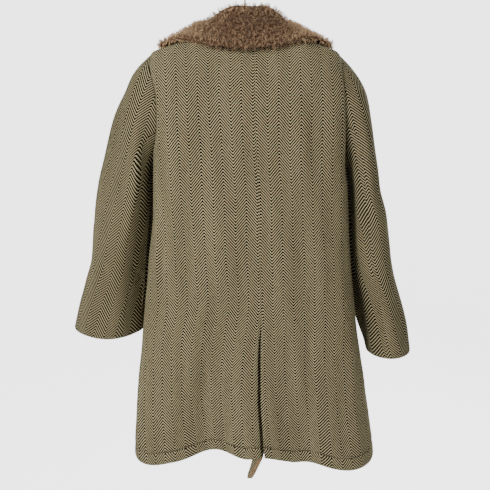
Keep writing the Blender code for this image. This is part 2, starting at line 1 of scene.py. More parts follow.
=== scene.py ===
# %% [markdown]
# # A tweed coat with a fur collar, on its hanger
#
# The object is a woman's three-quarter coat, seen from its back. It is made of herringbone tweed, with a
# wide turned-down collar of curly fur, two-piece sleeves and a vent in the skirt. A hanger holds it.
#
# The frame holds plain solids of all the pieces. This file dresses each of them: it lays fine cloth on the
# same body form, weaves the herringbone into it, grows the fur and sews the hem. We could simulate the
# cloth, but a coat on a hanger hangs almost still, so a form worked out from a few level sections gives the
# drape just where it is wanted, and it is the same on every run.

import math

import bpy
import numpy as np
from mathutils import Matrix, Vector


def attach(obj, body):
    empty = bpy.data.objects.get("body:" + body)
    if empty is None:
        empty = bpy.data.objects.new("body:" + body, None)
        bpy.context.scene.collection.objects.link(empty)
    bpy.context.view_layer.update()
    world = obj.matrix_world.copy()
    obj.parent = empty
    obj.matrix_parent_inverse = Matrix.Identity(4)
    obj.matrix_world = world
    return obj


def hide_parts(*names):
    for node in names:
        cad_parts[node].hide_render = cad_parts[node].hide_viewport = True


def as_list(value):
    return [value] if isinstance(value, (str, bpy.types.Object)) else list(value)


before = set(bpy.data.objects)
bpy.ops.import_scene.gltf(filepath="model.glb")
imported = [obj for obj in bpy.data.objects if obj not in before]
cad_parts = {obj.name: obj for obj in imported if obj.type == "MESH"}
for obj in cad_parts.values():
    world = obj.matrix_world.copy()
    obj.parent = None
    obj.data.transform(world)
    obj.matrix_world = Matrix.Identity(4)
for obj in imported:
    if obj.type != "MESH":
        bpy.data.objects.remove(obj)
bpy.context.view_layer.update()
print("nodes", sorted(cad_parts))

# %% [markdown]
# ## The body form
#
# A coat on a hanger is a tube with a flat, squarish section. Each row of the table is one level section:
# how far it reaches to both sides, where the centre back seam lies, how deep the back and the front are,
# and how square it is. Between the rows we read a smooth curve that never overshoots, so no ripple appears
# that isn't in the table. Lengths are in metres, and heights are measured from the hook.

# %% Landmarks and the table reader
WALL = 0.0028  # tweed with its interlining
SEAM = -0.0003  # two sewn pieces lap by a hair, so that no light shows through
FLY = 0.0008  # gap between two layers of cloth that lie on each other
NECK_TOP = -0.118
SHOULDER = -0.165
ARMPIT = -0.385
HEM = -1.055
VENT_TOP = -0.737
ARMHOLE_DEPTH = {"back": 0.062, "front": 0.058}
SECTION_STEPS = 200
PROBE = 0.0015  # how far to both sides the form's slope is measured
SIDES = {-1: "left", 1: "right"}


def mix(low, high, share):
    return low + (high - low) * share


def even_grade(before, after):
    """A slope between two neighbouring grades, level where they turn round."""
    alike = before * after > 0
    return np.where(alike, 2 * before * after / np.where(alike, before + after, 1), 0)


class Table:
    """Rows of named columns, read along a smooth curve with no overshoot."""

    def __init__(self, columns, rows):
        self.columns = columns.split()
        self.rows = np.array(sorted(rows), dtype=float)

    def value(self, name, at):
        keys = self.rows[:, 0]
        values = self.rows[:, self.columns.index(name)]
        at = np.clip(at, keys[0], keys[-1])
        low = np.clip(np.searchsorted(keys, at, side="right") - 1, 0, len(keys) - 2)
        grades = np.diff(values) / np.diff(keys)
        width = keys[low + 1] - keys[low]
        share = (at - keys[low]) / width
        rise = values[low + 1] - values[low]
        start = even_grade(grades[np.maximum(low - 1, 0)], grades[low]) * width
        end = even_grade(grades[low], grades[np.minimum(low + 1, len(grades) - 1)]) * width
        square = share**2 * (3 * rise - 2 * start - end)
        return values[low] + share * start + square + share**3 * (start + end - 2 * rise)


# %% Level sections and hanging folds
BODY = Table(
    "z left right seam back front square",
    (
        (-0.118, -0.083, 0.087, 0.014, 0.045, 0.040, 2.0),
        (-0.131, -0.116, 0.120, 0.016, 0.050, 0.044, 2.3),
        (-0.147, -0.153, 0.156, 0.018, 0.057, 0.051, 2.7),
        (-0.165, -0.198, 0.198, 0.019, 0.066, 0.060, 3.2),
        (-0.200, -0.206, 0.209, 0.020, 0.079, 0.070, 3.6),
        (-0.260, -0.199, 0.218, 0.021, 0.089, 0.079, 3.9),
        (-0.320, -0.194, 0.218, 0.022, 0.093, 0.083, 3.8),
        (-0.385, -0.199, 0.217, 0.025, 0.094, 0.085, 3.4),
        (-0.450, -0.201, 0.225, 0.028, 0.094, 0.086, 3.1),
        (-0.520, -0.205, 0.229, 0.030, 0.094, 0.086, 3.0),
        (-0.600, -0.215, 0.236, 0.033, 0.095, 0.087, 3.0),
        (-0.700, -0.226, 0.247, 0.036, 0.096, 0.088, 3.0),
        (-0.800, -0.236, 0.261, 0.031, 0.097, 0.089, 3.0),
        (-0.900, -0.247, 0.277, 0.031, 0.099, 0.090, 3.0),
        (-1.000, -0.254, 0.292, 0.036, 0.101, 0.091, 3.0),
        (-1.070, -0.257, 0.301, 0.041, 0.103, 0.092, 3.0),
    ),
)

# Side, centre and half width as shares of the way from the centre line to the side, depth outwards,
# lift of the hem, and the top, from which each fold deepens to the hem.
FOLD_GROWTH = 1.3
FOLDS = {
    "back": (
        (-1, 0.315, 0.26, -0.024, 0.018, -0.80),
        (-1, 0.78, 0.30, 0.010, -0.018, -0.62),
        (-1, 0.02, 0.16, 0.006, 0.006, -0.74),
        (1, 0.02, 0.26, 0.006, 0.013, -0.74),
        (1, 0.66, 0.40, 0.016, -0.020, -0.66),
        (1, 0.34, 0.16, -0.006, 0.000, -0.86),
    ),
    "front": (
        (-1, 0.62, 0.24, -0.014, 0.006, -0.76),
        (1, 0.70, 0.26, -0.012, 0.004, -0.80),
        (1, 0.50, 0.18, 0.009, -0.004, -0.72),
    ),
}


def soft_bump(distance):
    """1 at the middle, 0 from 1 outwards, smooth at both."""
    return (1 + np.cos(np.pi * np.minimum(np.abs(distance), 1.0))) / 2


def fold_move(z, side, face, share):
    """How far the hanging folds move the cloth out, and how much they raise it."""
    out = np.zeros_like(share)
    lift = np.zeros_like(share)
    for fold_side, centre, half, depth, rise, top in FOLDS[face]:
        fall = np.maximum(top - z, 0) / (top - HEM)
        strength = soft_bump((share * side - centre * fold_side) / half) * fall**FOLD_GROWTH
        out += depth * strength
        lift += rise * strength
    return out, lift


# %% Points on the form
QUARTER = np.linspace(0, math.pi / 2, SECTION_STEPS + 1)


def unit(vectors):
    return vectors / np.maximum(np.linalg.norm(vectors, axis=-1, keepdims=True), 1e-12)


def pick(rows, index):
    return np.take_along_axis(rows, index[..., None], -1)[..., 0]


def between(rows, low, share):
    return mix(pick(rows, low), pick(rows, low + 1), share)


def section_line(z, side, face):
    """A quarter of each level section, from the centre line to the side: points and lengths along it."""
    z = np.asarray(z, dtype=float)[..., None]
    side = np.asarray(side, dtype=float)[..., None]
    centre = BODY.value("seam", z) if face == "back" else np.zeros_like(z)
    edge = np.where(side > 0, BODY.value("right", z), BODY.value("left", z))
    depth = BODY.value(face, z) * (-1 if face == "back" else 1)
    power = 2 / BODY.value("square", z)
    x = centre + (edge - centre) * np.sin(QUARTER) ** power
    y = depth * np.cos(QUARTER) ** power
    steps = np.hypot(np.diff(x), np.diff(y))
    lengths = np.concatenate([np.zeros_like(steps[..., :1]), np.cumsum(steps, -1)], -1)
    return x, y, lengths


def body_point(z, face, distance, out=0.0):
    """Points on the form at signed distances from the centre line, moved out in plan."""
    z, distance, out = np.broadcast_arrays(z, distance, out)
    side = np.where(distance >= 0, 1.0, -1.0)
    x, y, lengths = section_line(z, side, face)
    length = np.abs(distance)
    low = np.clip((lengths <= length[..., None]).sum(-1) - 1, 0, SECTION_STEPS - 1)
    share = (length - pick(lengths, low)) / (pick(lengths, low + 1) - pick(lengths, low))
    step_x = between(np.gradient(x, axis=-1), low, share)
    step_y = between(np.gradient(y, axis=-1), low, share)
    turn = side * (1 if face == "back" else -1) / np.hypot(step_x, step_y)
    move, lift = fold_move(z, side, face, length / lengths[..., -1])
    push = turn * (move + out)
    x = between(x, low, share) + step_y * push
    y = between(y, low, share) - step_x * push
    return np.stack([x, y, z + lift], -1)


def surface_point(z, face, distance, out):
    """The same, moved out along the form's true normal."""
    across = body_point(z, face, distance + PROBE) - body_point(z, face, distance - PROBE)
    up = body_point(z + PROBE, face, distance) - body_point(z - PROBE, face, distance)
    normal = unit(np.cross(across, up)) * (1 if face == "back" else -1)
    return body_point(z, face, distance) + normal * np.asarray(out)[..., None]


def side_length(z, side, face):
    return section_line(z, side, face)[2][..., -1]


def armhole_height(turn):
    """From the shoulder point at 0 to the armpit at pi."""
    return mix(SHOULDER, ARMPIT, (1 - np.cos(turn)) / 2)


def edge_distance(z, side, face):
    """From the centre line to the side seam, the armhole's edge or the shoulder seam."""
    x, y, lengths = section_line(z, side, face)
    depth = np.abs(y)
    down = np.clip((SHOULDER - np.asarray(z, dtype=float)) / (SHOULDER - ARMPIT), 0, 1)
    limit = ARMHOLE_DEPTH[face] * np.sin(np.arccos(1 - 2 * down))
    low = np.clip((depth > limit[..., None]).sum(-1), 1, SECTION_STEPS) - 1
    before = pick(depth, low)
    share = np.clip((before - limit) / (before - pick(depth, low + 1)), 0, 1)
    return between(lengths, low, share)


print("chest half girth", round(float(side_length(ARMPIT, 1, "back") + side_length(ARMPIT, -1, "back")), 3))

# %% [markdown]
# ## Herringbone
#
# Herringbone is a two-over-two twill whose diagonal turns round every half stripe. Light yarns run along
# the cloth and dark yarns across it. The pattern is worked out from the cloth's own metres, which each piece
# carries as a UV map, so it follows the grain of each piece and breaks at the seams. We fold the distance
# across into a zigzag, count the yarns along it and up the cloth, and see from their difference on which
# half of the four-yarn repeat we are. Each yarn gets a round top whose edges are painted darker as painted
# shade, the first yarn of each light float is painted dark as painted shade where it dips under, and a fine
# noise makes the wool heathery.

# %% Wiring for materials and node groups
NODE_FAMILIES = ("ShaderNode", "GeometryNode", "FunctionNode", "")


class Wiring:
    """A node tree that is wired up call by call."""

    def __init__(self, tree):
        self.tree = tree

    def fill(self, node, inputs):
        """Gives a node's inputs their values, or links them to other nodes' outputs."""
        for key, value in inputs.items():
            if isinstance(value, bpy.types.NodeSocket):
                self.tree.links.new(value, node.inputs[key])
            else:
                node.inputs[key].default_value = value

    def add(self, kind, inputs=(), out=0, **settings):
        """Adds a node, named without its family, and gives one of its outputs."""
        kind = next(family + kind for family in NODE_FAMILIES if hasattr(bpy.types, family + kind))
        node = self.tree.nodes.new(kind)
        for name, value in settings.items():
            setattr(node, name, value)
        self.fill(node, dict(inputs))
        return node.outputs[out] if len(node.outputs) else node

    def calc(self, operation, *values):
        return self.add("Math", dict(enumerate(values)), operation=operation)

    def vector(self, operation, first, second):
        key = "Scale" if operation == "SCALE" else 1
        return self.add("VectorMath", {0: first, key: second}, operation=operation)

    def span(self, value, start, end, low=0.0, high=1.0):
        """Start where the value is low, end where it is high."""
        inputs = {"Value": value, "From Min": low, "From Max": high, "To Min": start, "To Max": end}
        return self.add("MapRange", inputs)

    def blend(self, factor, first, second):
        """A colour between two, each given as red, green and blue or as a socket."""
        colours = [(*colour, 1) if isinstance(colour, tuple) else colour for colour in (first, second)]
        return self.add("Mix", {0: factor, 6: colours[0], 7: colours[1]}, out=2, data_type="RGBA")

    def noise(self, place, scale, detail=2.0, roughness=0.5):
        inputs = {"Vector": place, "Scale": scale, "Detail": detail, "Roughness": roughness}
        return self.add("TexNoise", inputs)

    def bump(self, height, distance, strength):
        return self.add("Bump", {"Height": height, "Distance": distance, "Strength": strength})

    def attribute(self, name):
        return self.add("InputNamedAttribute", {"Name": name}, data_type="FLOAT")

    def store(self, geometry, name, value, domain="POINT"):
        marks = {"Geometry": geometry, "Name": name, "Value": value}
        return self.add("StoreNamedAttribute", marks, data_type="FLOAT", domain=domain)

    def real_mesh(self, instances, material):
        """Ends a group: real geometry, smooth, in its material."""
        real = self.add("RealizeInstances", {0: instances})
        smooth = self.add("SetShadeSmooth", {0: real})
        dressed = self.add("SetMaterial", {"Geometry": smooth, "Material": material})
        self.add("NodeGroupOutput", {0: dressed})


def node_group(name, kind, takes, gives):
    """An empty group with its named inputs and outputs: the group, its wiring and what it is given."""
    tree = bpy.data.node_groups.new(name, kind + "NodeTree")
    for in_out, sockets in (("INPUT", takes), ("OUTPUT", gives)):
        for socket, sort in sockets.items():
            tree.interface.new_socket(socket, in_out=in_out, socket_type="NodeSocket" + sort)
    return tree, Wiring(tree), tree.nodes.new("NodeGroupInput").outputs


def new_material(name):
    material = bpy.data.materials.new(name)
    material.use_nodes = True
    return material, Wiring(material.node_tree), material.node_tree.nodes["Principled BSDF"]


# %% The herringbone node group
YARN = 0.00165  # spacing of the dark weft yarns, up the cloth
WARP_YARN = 0.00139  # spacing of the light warp yarns, across it, which are set closer
HALF_STRIPE = 16 * WARP_YARN
# Painted shade: the first yarn of each light float is painted nearly as dark as the weft, where it dips
# under.
SHADED_FIRST_YARN = 0.06  # how light the first yarn of a light float is, where it still dips under
FLECK_TONES = (0.80, 1.20)
BAND_TONES = (0.84, 1.16)
NOISE_CORE = (0.3, 0.7)  # most of a noise's values lie between these


def herringbone_group():
    takes = {"Cloth": "Vector", "Dark": "Color", "Light": "Color"}
    tree, wire, given = node_group("herringbone", "Shader", takes, {"Color": "Color", "Height": "Float"})
    calc = wire.calc
    cloth = given["Cloth"]
    across = wire.add("SeparateXYZ", {0: cloth})
    along = across.node.outputs[1]
    warp = calc("DIVIDE", calc("PINGPONG", across, HALF_STRIPE), WARP_YARN)
    weft = calc("DIVIDE", along, YARN)
    step = calc("FLOORED_MODULO", calc("SUBTRACT", calc("FLOOR", weft), calc("FLOOR", warp)), 4.0)
    over = calc("LESS_THAN", step, 1.5)
    tops = []
    for yarn in (weft, warp):
        aside = calc("ABSOLUTE", calc("MULTIPLY_ADD", calc("FRACT", yarn), 2.0, -1.0))
        tops.append(calc("SUBTRACT", 1.0, calc("POWER", aside, 2.5)))
    top = wire.add("Mix", {0: over, 2: tops[0], 3: tops[1]}, data_type="FLOAT")
    fleck = wire.noise(cloth, 900.0, 3.0, 0.6)
    drawn = wire.vector("MULTIPLY", cloth, (1.0, 0.14, 1.0))
    band = wire.noise(drawn, 24.0, 3.0, 0.55)
    # Painted shade: the first yarn of each light float is painted dark where it dips under.
    dip_shade = calc("MULTIPLY_ADD", calc("LESS_THAN", step, 0.5), SHADED_FIRST_YARN - 1.0, 1.0)
    colour = wire.blend(calc("MULTIPLY", over, dip_shade), given["Dark"], given["Light"])
    fleck_tone = wire.span(fleck, *FLECK_TONES, *NOISE_CORE)
    tone = calc("MULTIPLY", fleck_tone, wire.span(band, *BAND_TONES, *NOISE_CORE))
    # Painted shade: each yarn is painted darker towards its edges, where its round top turns away from the
    # light.
    tone = calc("MULTIPLY", tone, calc("MULTIPLY_ADD", top, 0.25, 0.78))
    toned = wire.vector("SCALE", colour, tone)
    wire.add("NodeGroupOutput", {"Color": toned, "Height": calc("MULTIPLY_ADD", fleck, 0.3, top)})
    return tree


HERRINGBONE = herringbone_group()
print("yarn", YARN, "half stripe", round(HALF_STRIPE, 4))

# %% Tweed for the back, the fronts and the sleeves
TWEED_DARK = (0.004, 0.0032, 0.0012)
TWEED_LIGHT = (0.790, 0.688, 0.395)


def tweed(face, tone):
    material, wire, shader = new_material(f"tweed_{face}_woven")
    yarns = {"Cloth": wire.add("UVMap", uv_map="cloth")}
    yarns["Dark"] = (*[value * tone for value in TWEED_DARK], 1)
    yarns["Light"] = (*[value * tone for value in TWEED_LIGHT], 1)
    colour = wire.add("Group", yarns, node_tree=HERRINGBONE)
    height = colour.node.outputs["Height"]
    wool = {"Base Color": colour, "Normal": wire.bump(height, 0.0003, 0.5), "Roughness": 0.95}
    wool.update({"Specular IOR Level": 0.1, "Sheen Weight": 0.03, "Sheen Roughness": 0.5})
    wire.fill(shader, wool | {"Sheen Tint": (0.75, 0.68, 0.5, 1)})
    return material


# Painted shade: the sleeves' tweed is painted 0.84 times as light as the back's, for sleeves that hang in
# more shade.
TWEED = {face: tweed(face, tone) for face, tone in (("back", 1.0), ("front", 1.0), ("sleeve", 0.84))}
print("tweed", [material.name for material in TWEED.values()])

# %% [markdown]
# ## From a grid of points to a piece of cloth
#
# Every piece of the coat is one grid of points: its rows run across the piece and its columns along it. We
# turn the grid into a mesh, write the metres across and along into a UV map, and give it its thickness on
# the inner side with a Solidify modifier. A real seam is pulled in where it is sewn, so the last millimetres
# at each edge dip inwards. That gives the soft line that shows at the seams without any drawn line.

# %% Making cloth from grids
EDGE_STEPS = np.array([0.0, 0.0008, 0.002, 0.004])
ROLL_WIDTH = 0.005
SHEETS = {}


def grid_normals(grid):
    """Outward normals of a grid of points, from the differences to its neighbours."""
    return unit(np.cross(np.gradient(grid, axis=1), np.gradient(grid, axis=0)))


def lengths_along(grid, axis):
    """Lengths from the first row or column on, measured along the cloth."""
    steps = np.linalg.norm(np.diff(grid, axis=axis), axis=-1)
    return np.concatenate([np.zeros_like(np.take(steps, [0], axis)), np.cumsum(steps, axis)], axis)


def roll_edge(distance_in, depth):
    """How far a sewn or turned edge dips, at a distance in from it."""
    return -depth * np.clip(1 - distance_in / ROLL_WIDTH, 0, 1) ** 2


def quad_faces(rows, columns, closed=False, flip=False):
    """The faces of a grid, whose columns may close to a ring and whose faces may be turned over."""
    corner = np.arange(rows * columns).reshape(rows, columns)
    if closed:
        corner = np.concatenate([corner, corner[:, :1]], 1)
    low, high = corner[:-1], corner[1:]
    corners = [low[:, :-1], low[:, 1:], high[:, 1:], high[:, :-1]]
    if flip:
        corners = [corners[index] for index in (0, 3, 2, 1)]
    return [tuple(face) for face in np.stack(corners, -1).reshape(-1, 4)]


def place_object(name, data):
    item = bpy.data.objects.new(name, data)
    bpy.context.scene.collection.objects.link(item)
    return item


def mesh_object(name, points, faces, material, uv=None, edges=()):
    mesh = bpy.data.meshes.new(name)
    mesh.from_pydata([tuple(point) for point in points], edges, faces)
    if uv is not None:
        corners = np.zeros(len(mesh.loops), dtype=np.int32)
        mesh.loops.foreach_get("vertex_index", corners)
        mesh.uv_layers.new(name="cloth").data.foreach_set("uv", uv[corners].ravel())
    mesh.materials.append(material)
    mesh.shade_smooth()
    return place_object(name, mesh)


def hand_over(item, node=None):
    """Puts a finished piece on the frame's body, in the place of its node if it has one."""
    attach(item, "root")
    if node:
        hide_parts(node)
    return item


def cloth_piece(node, face, grid, uv):
    """A woven piece that stands for one node of the frame, with the measures of its cut."""
    rows, columns = grid.shape[:2]
    faces = quad_faces(rows, columns)
    item = mesh_object(node + "_cloth", grid.reshape(-1, 3), faces, TWEED[face], uv.reshape(-1, 2))
    thick = item.modifiers.new("Thickness", "SOLIDIFY")
    thick.thickness = WALL
    thick.offset = -1.0
    thick.use_even_offset = False
    hand_over(item, node)
    cell = np.linalg.norm(np.cross(np.gradient(grid, axis=1), np.gradient(grid, axis=0)), axis=-1)
    cell[[0, -1], :] *= 0.5
    cell[:, [0, -1]] *= 0.5
    width = lengths_along(grid, 1)[:, -1].max()
    length = lengths_along(grid, 0)[-1].max()
    SHEETS[node] = {"item": item, "width": width, "length": length, "area": cell.sum(), "extras": []}
    print(node, grid.shape, "cut", round(width, 3), round(length, 3), "area", round(cell.sum(), 4))


# %% [markdown]
# ## Creases
#
# The large folds belong to the form. On top of them real cloth has soft creases: at the side where it is
# caught, over the vent, where the skirt swings out, at the elbows. We place each one as a soft trough with a
# lower ridge beside it. They differ in length, depth and lean, because even spacing looks like corrugation.

# %% Crease tables
# Place across, top, length, lean, width, depth, and the side on which the ridge lies.
CREASES = {
    "back": (
        (-0.214, -0.530, 0.155, -0.004, 0.0075, 0.0063, -1.0),
        (-0.118, -0.400, 0.380, 0.006, 0.016, 0.0033, 1.0),
        (-0.158, -0.690, 0.360, -0.012, 0.014, 0.0039, -1.0),
        (-0.052, -0.560, 0.250, 0.004, 0.020, 0.0018, 1.0),
        (0.113, -0.235, 0.200, 0.006, 0.010, 0.0027, 1.0),
        (0.104, -0.640, 0.400, 0.010, 0.013, 0.0051, 1.0),
        (0.182, -0.760, 0.300, 0.010, 0.015, 0.0039, -1.0),
        (0.170, -0.330, 0.260, -0.020, 0.017, 0.0027, 1.0),
        (-0.165, -0.300, 0.180, 0.028, 0.012, 0.0027, -1.0),
        (0.050, -0.880, 0.200, 0.006, 0.012, 0.0024, -1.0),
        (-0.107, -0.190, 0.310, 0.004, 0.022, 0.0050, -1.0),
        (0.122, -0.175, 0.350, 0.010, 0.022, 0.0052, 1.0),
        (-0.116, -0.700, 0.340, -0.008, 0.020, 0.0046, -1.0),
        (0.060, -0.690, 0.330, 0.006, 0.022, 0.0030, 1.0),
        (0.198, -0.180, 0.260, 0.012, 0.009, 0.0085, -1.0),
    ),
    "front": (
        (-0.190, -0.430, 0.330, 0.012, 0.014, 0.0039, 1.0),
        (0.176, -0.400, 0.360, -0.010, 0.015, 0.0036, -1.0),
        (-0.128, -0.640, 0.390, -0.008, 0.013, 0.0045, 1.0),
        (0.135, -0.690, 0.350, 0.012, 0.012, 0.0042, 1.0),
        (0.205, -0.800, 0.260, 0.008, 0.013, 0.0036, -1.0),
        (-0.160, -0.310, 0.150, 0.022, 0.011, 0.0027, -1.0),
        (0.158, -0.300, 0.160, -0.024, 0.012, 0.0027, 1.0),
    ),
}
COLLAR_BELOW = {"back": -0.18, "front": -0.285}
RIDGE_HEIGHT = 0.55  # of a crease's ridge, as a share of its depth
RIDGE_AWAY = 1.7  # how many widths it lies beside the trough


def crease_move(creases, across, height):
    """How far the creases move the cloth out at places on a piece."""
    move = np.zeros_like(across)
    for place, top, length, lean, width, depth, side in creases:
        down = (top - height) / length
        fade = np.where((down > 0) & (down < 1), np.sin(np.pi * np.clip(down, 0, 1)) ** 1.3, 0)
        aside = (across - place - lean * down) / width
        ridge = RIDGE_HEIGHT * np.exp(-((aside - RIDGE_AWAY * side) ** 2))
        move += depth * fade * (ridge - np.exp(-(aside**2)))
    return move


def uneven(across, height):
    """Slow unevenness of hanging cloth, up to about a millimetre."""
    slow = np.sin(31 * across + 17 * height + 0.6) * np.sin(23 * height - 11 * across)
    quick = np.sin(67 * across - 29 * height + 2.1) * np.sin(53 * height + 37 * across + 0.4)
    return 0.0007 * slow + 0.00035 * quick


def body_move(face, across, height):
    """All that is added to the form, fading out under the collar."""
    fade = np.clip((COLLAR_BELOW[face] - height) / 0.03, 0, 1)
    return (crease_move(CREASES[face], across, height) + uneven(across, height)) * fade


print("creases", {face: len(rows) for face, rows in CREASES.items()})

# %% [markdown]
# ## Back and front panels
#
# The back is cut in two halves that meet in the centre seam and part below it in the vent. The fronts
# overlap by seventeen centimetres, the wearer's right one on top. Rows of the grids lie level on the form,
# with a few extra ones at the hem's edge and along the line where the hem is sewn.

# %% Rows and columns of the panels
HEM_LINE = HEM + 0.026
ROW_STEP = 0.006
BACK_NECK_DROP = 0.012
NECK_DROP_FROM = -0.30
OVERLAP = 0.085
OVER_EASE = 0.03
HEM_ROLL = 0.0012
HEM_PULL = (0.0034, 0.0028)  # depth of the dip along the stitches, and its half width
HEM_PUCKER = (0.0009, 0.009)
PANEL_ROLL = {"back": (0.0011, 0.0007), "front": (0.0004, 0.0007)}  # at the inner and the outer edge


def merged(plain, special, apart):
    """Plain steps with special ones put in, leaving out plain ones that lie too close to them."""
    clear = [value for value in plain if np.abs(np.array(special) - value).min() > apart]
    return np.array(sorted([*clear, *special]))


def panel_rows():
    skirt = np.arange(HEM, ARMPIT, ROW_STEP)
    armhole = armhole_height(np.linspace(math.pi, 0, 46))
    yoke = np.linspace(SHOULDER, NECK_TOP, 15)[1:]
    special = [HEM, HEM + 0.0008, HEM + 0.002, HEM + 0.004]
    special += [HEM_LINE + step for step in (-0.003, -0.0015, 0, 0.0015, 0.003)]
    return merged(np.concatenate([skirt, armhole, yoke]), special, 0.001)


def panel_columns(start, end, cells):
    """Distances across each row, with narrow cells along both edges."""
    start, end = np.broadcast_arrays(np.asarray(start)[:, None], np.asarray(end)[:, None])
    inside = mix(start + EDGE_STEPS[-1], end - EDGE_STEPS[-1], np.linspace(0, 1, cells + 1))
    return np.concatenate([start + EDGE_STEPS[:-1], inside, end - EDGE_STEPS[-2::-1]], 1)


def hem_dip(across, height):
    """The hem is turned at its edge, drawn in along its stitching and puckered above and below it."""
    away = height - HEM_LINE
    pull = 1.0 + 0.5 * np.sin(71 * across + 1.1) * np.sin(29 * across)
    pucker = np.sin(390 * across + 2.2 * np.sin(57 * across)) * (0.5 + 0.5 * np.sin(43 * across + 0.7))
    drawn = -HEM_PULL[0] * pull * np.exp(-((away / HEM_PULL[1]) ** 2))
    puckered = HEM_PUCKER[0] * pucker * np.exp(-((away / HEM_PUCKER[1]) ** 2))
    return roll_edge(height - HEM, HEM_ROLL) + drawn + puckered


# %% The vent, the neck and the front edges
VENT = Table(
    "z gap", ((-1.060, 0.0062), (-0.960, 0.0070), (-0.850, 0.0062), (-0.780, 0.0042), (-0.737, 0.0005))
)
FRONT_EDGE = Table(
    "z distance",
    ((-1.100, -0.085), (-0.240, -0.085), (-0.226, -0.080), (-0.200, -0.040), (-0.176, 0.022),
     (-0.165, 0.042), (-0.150, 0.058), (-0.135, 0.070), (-0.118, 0.082)),
)

# How far the stripes of each back half have drifted from the centre seam, and where they start.
GRAIN = Table(
    "z left right",
    ((-0.690, 0.000, 0.0000), (-0.760, -0.006, 0.0050), (-0.830, -0.010, 0.0085),
     (-0.980, -0.012, 0.0165), (-1.060, -0.013, 0.0190)),
)
STRIPE_START = {-1: 0.0050, 1: -0.0244}
FRONT_STRIPE_START = 0.011
PLUMB = 0.09  # how far beside the centre the cloth's length is measured


def neck_drop(z, share):
    """The back neck dips between the neck points."""
    rise = np.clip((z - NECK_DROP_FROM) / (NECK_TOP - NECK_DROP_FROM), 0, None)
    return BACK_NECK_DROP * (1 - share**2) * rise**2


def over_lift(distance):
    """The over front lies on the under front as far as the overlap reaches, then comes down to the body."""
    past = (distance - OVERLAP - FLY) / OVER_EASE
    return (WALL + FLY) * soft_bump(np.maximum(past, 0.0))


def wander(across, along):
    """Real stripes never run dead straight: they drift by a millimetre or two."""
    aside = 0.0011 * np.sin(19 * along + 23 * across + 0.4) + 0.0006 * np.sin(41 * along - 17 * across)
    lift = 0.0013 * np.sin(27 * across + 9 * along) + 0.0007 * np.sin(61 * across - 13 * along + 1.3)
    return np.stack([across + aside, along + lift], -1)


def panel(face, side):
    """Half of the back or one front: its points, and the metres across and along for its weave."""
    z = panel_rows()
    end = edge_distance(z, side, face) - SEAM
    if face == "back":
        start = np.where(z < VENT_TOP, VENT.value("gap", z), SEAM) / 2
        distance = panel_columns(start, end, 84)
        height = z[:, None] - neck_drop(z[:, None], distance / end[:, None])
        scale = edge_distance(height, side, face) / edge_distance(z, side, face)[:, None]
        across = side * distance * scale
        stripes = across + STRIPE_START[side] - GRAIN.value(SIDES[side], z)[:, None]
        out = 0.0
    else:
        start = FRONT_EDGE.value("distance", z)
        distance = panel_columns(start, end, 96)
        height = np.broadcast_to(z[:, None], distance.shape)
        across = side * distance
        stripes = across + FRONT_STRIPE_START
        out = over_lift(distance) if side > 0 else 0.0
    move = body_move(face, across, height) + hem_dip(across, z[:, None])
    inner, outer = PANEL_ROLL[face]
    move += roll_edge(distance - start[:, None], inner) + roll_edge(end[:, None] - distance, outer)
    grid = body_point(height, face, across, out)
    along = lengths_along(body_point(z, face, np.full_like(z, side * PLUMB)), 0)
    if (side > 0) != (face == "back"):
        grid, stripes, move = grid[:, ::-1], stripes[:, ::-1], move[:, ::-1]
    grid = grid + grid_normals(grid) * move[..., None]
    return grid, wander(stripes, np.broadcast_to(along[:, None], stripes.shape))


GRIDS = {}
for side, name in SIDES.items():
    for face in ("back", "front"):
        node = f"{face}_{name}"
        GRIDS[node], uv = panel(face, side)
        cloth_piece(node, face, GRIDS[node], uv)

# %% [markdown]
# ## The vent's underlap
#
# A vent never shows the lining, because a strip of the coat's own cloth lies behind it. Here the strip has
# sagged, and its loose corner hangs below the hem. Behind the slit the strip is pushed in to a gutter, which
# keeps the slit as dark as it looks on the real coat.

# %% The underlap strip
UNDERLAP_IN = WALL + FLY + 0.0012
UNDERLAP = Table(
    "z left right",
    ((-0.742, -0.028, 0.022), (-0.860, -0.030, 0.022), (-0.970, -0.030, 0.018),
     (-1.030, -0.026, 0.007), (-1.052, -0.024, 0.001), (-1.068, -0.0270, -0.0060),
     (-1.082, -0.0310, -0.0125), (-1.094, -0.0345, -0.0185), (-1.103, -0.0350, -0.0245)),
)
GUTTER = (0.011, 0.015)  # depth and half width


def hanging_strip(height, distance, out):
    """Points on the back's form, which below the hem hang straight down from it."""
    held = np.maximum(height, HEM)
    grid = body_point(held[:, None] * np.ones_like(distance), "back", distance, out)
    grid[..., 2] += (height - held)[:, None]
    return grid


height = np.linspace(-0.742, -1.103, 72)
edges = [UNDERLAP.value(edge, height)[:, None] for edge in ("left", "right")]
distance = mix(*edges, np.linspace(0, 1, 19))
fade = np.clip((height - HEM) / 0.03, 0, 1)[:, None]
gutter = GUTTER[0] * soft_bump((distance + 0.001) / GUTTER[1]) * fade
strip = hanging_strip(height, distance, -UNDERLAP_IN - gutter)[::-1]
cloth_piece("vent_underlap", "back", strip, np.stack([distance[::-1] + 0.006, lengths_along(strip, 0)], -1))

# %% [markdown]
# ## Sleeves
#
# Each sleeve is a bent tube of two pieces, with one seam down its back and one down its front. It starts on
# the armhole's own curve and settles into its own sections within a few rows. The left one is rolled a
# little, so its back has a ridge with a shaded side under it. The weave is carried up from the cuff along
# the sleeve's own line, with a slight lean inwards.

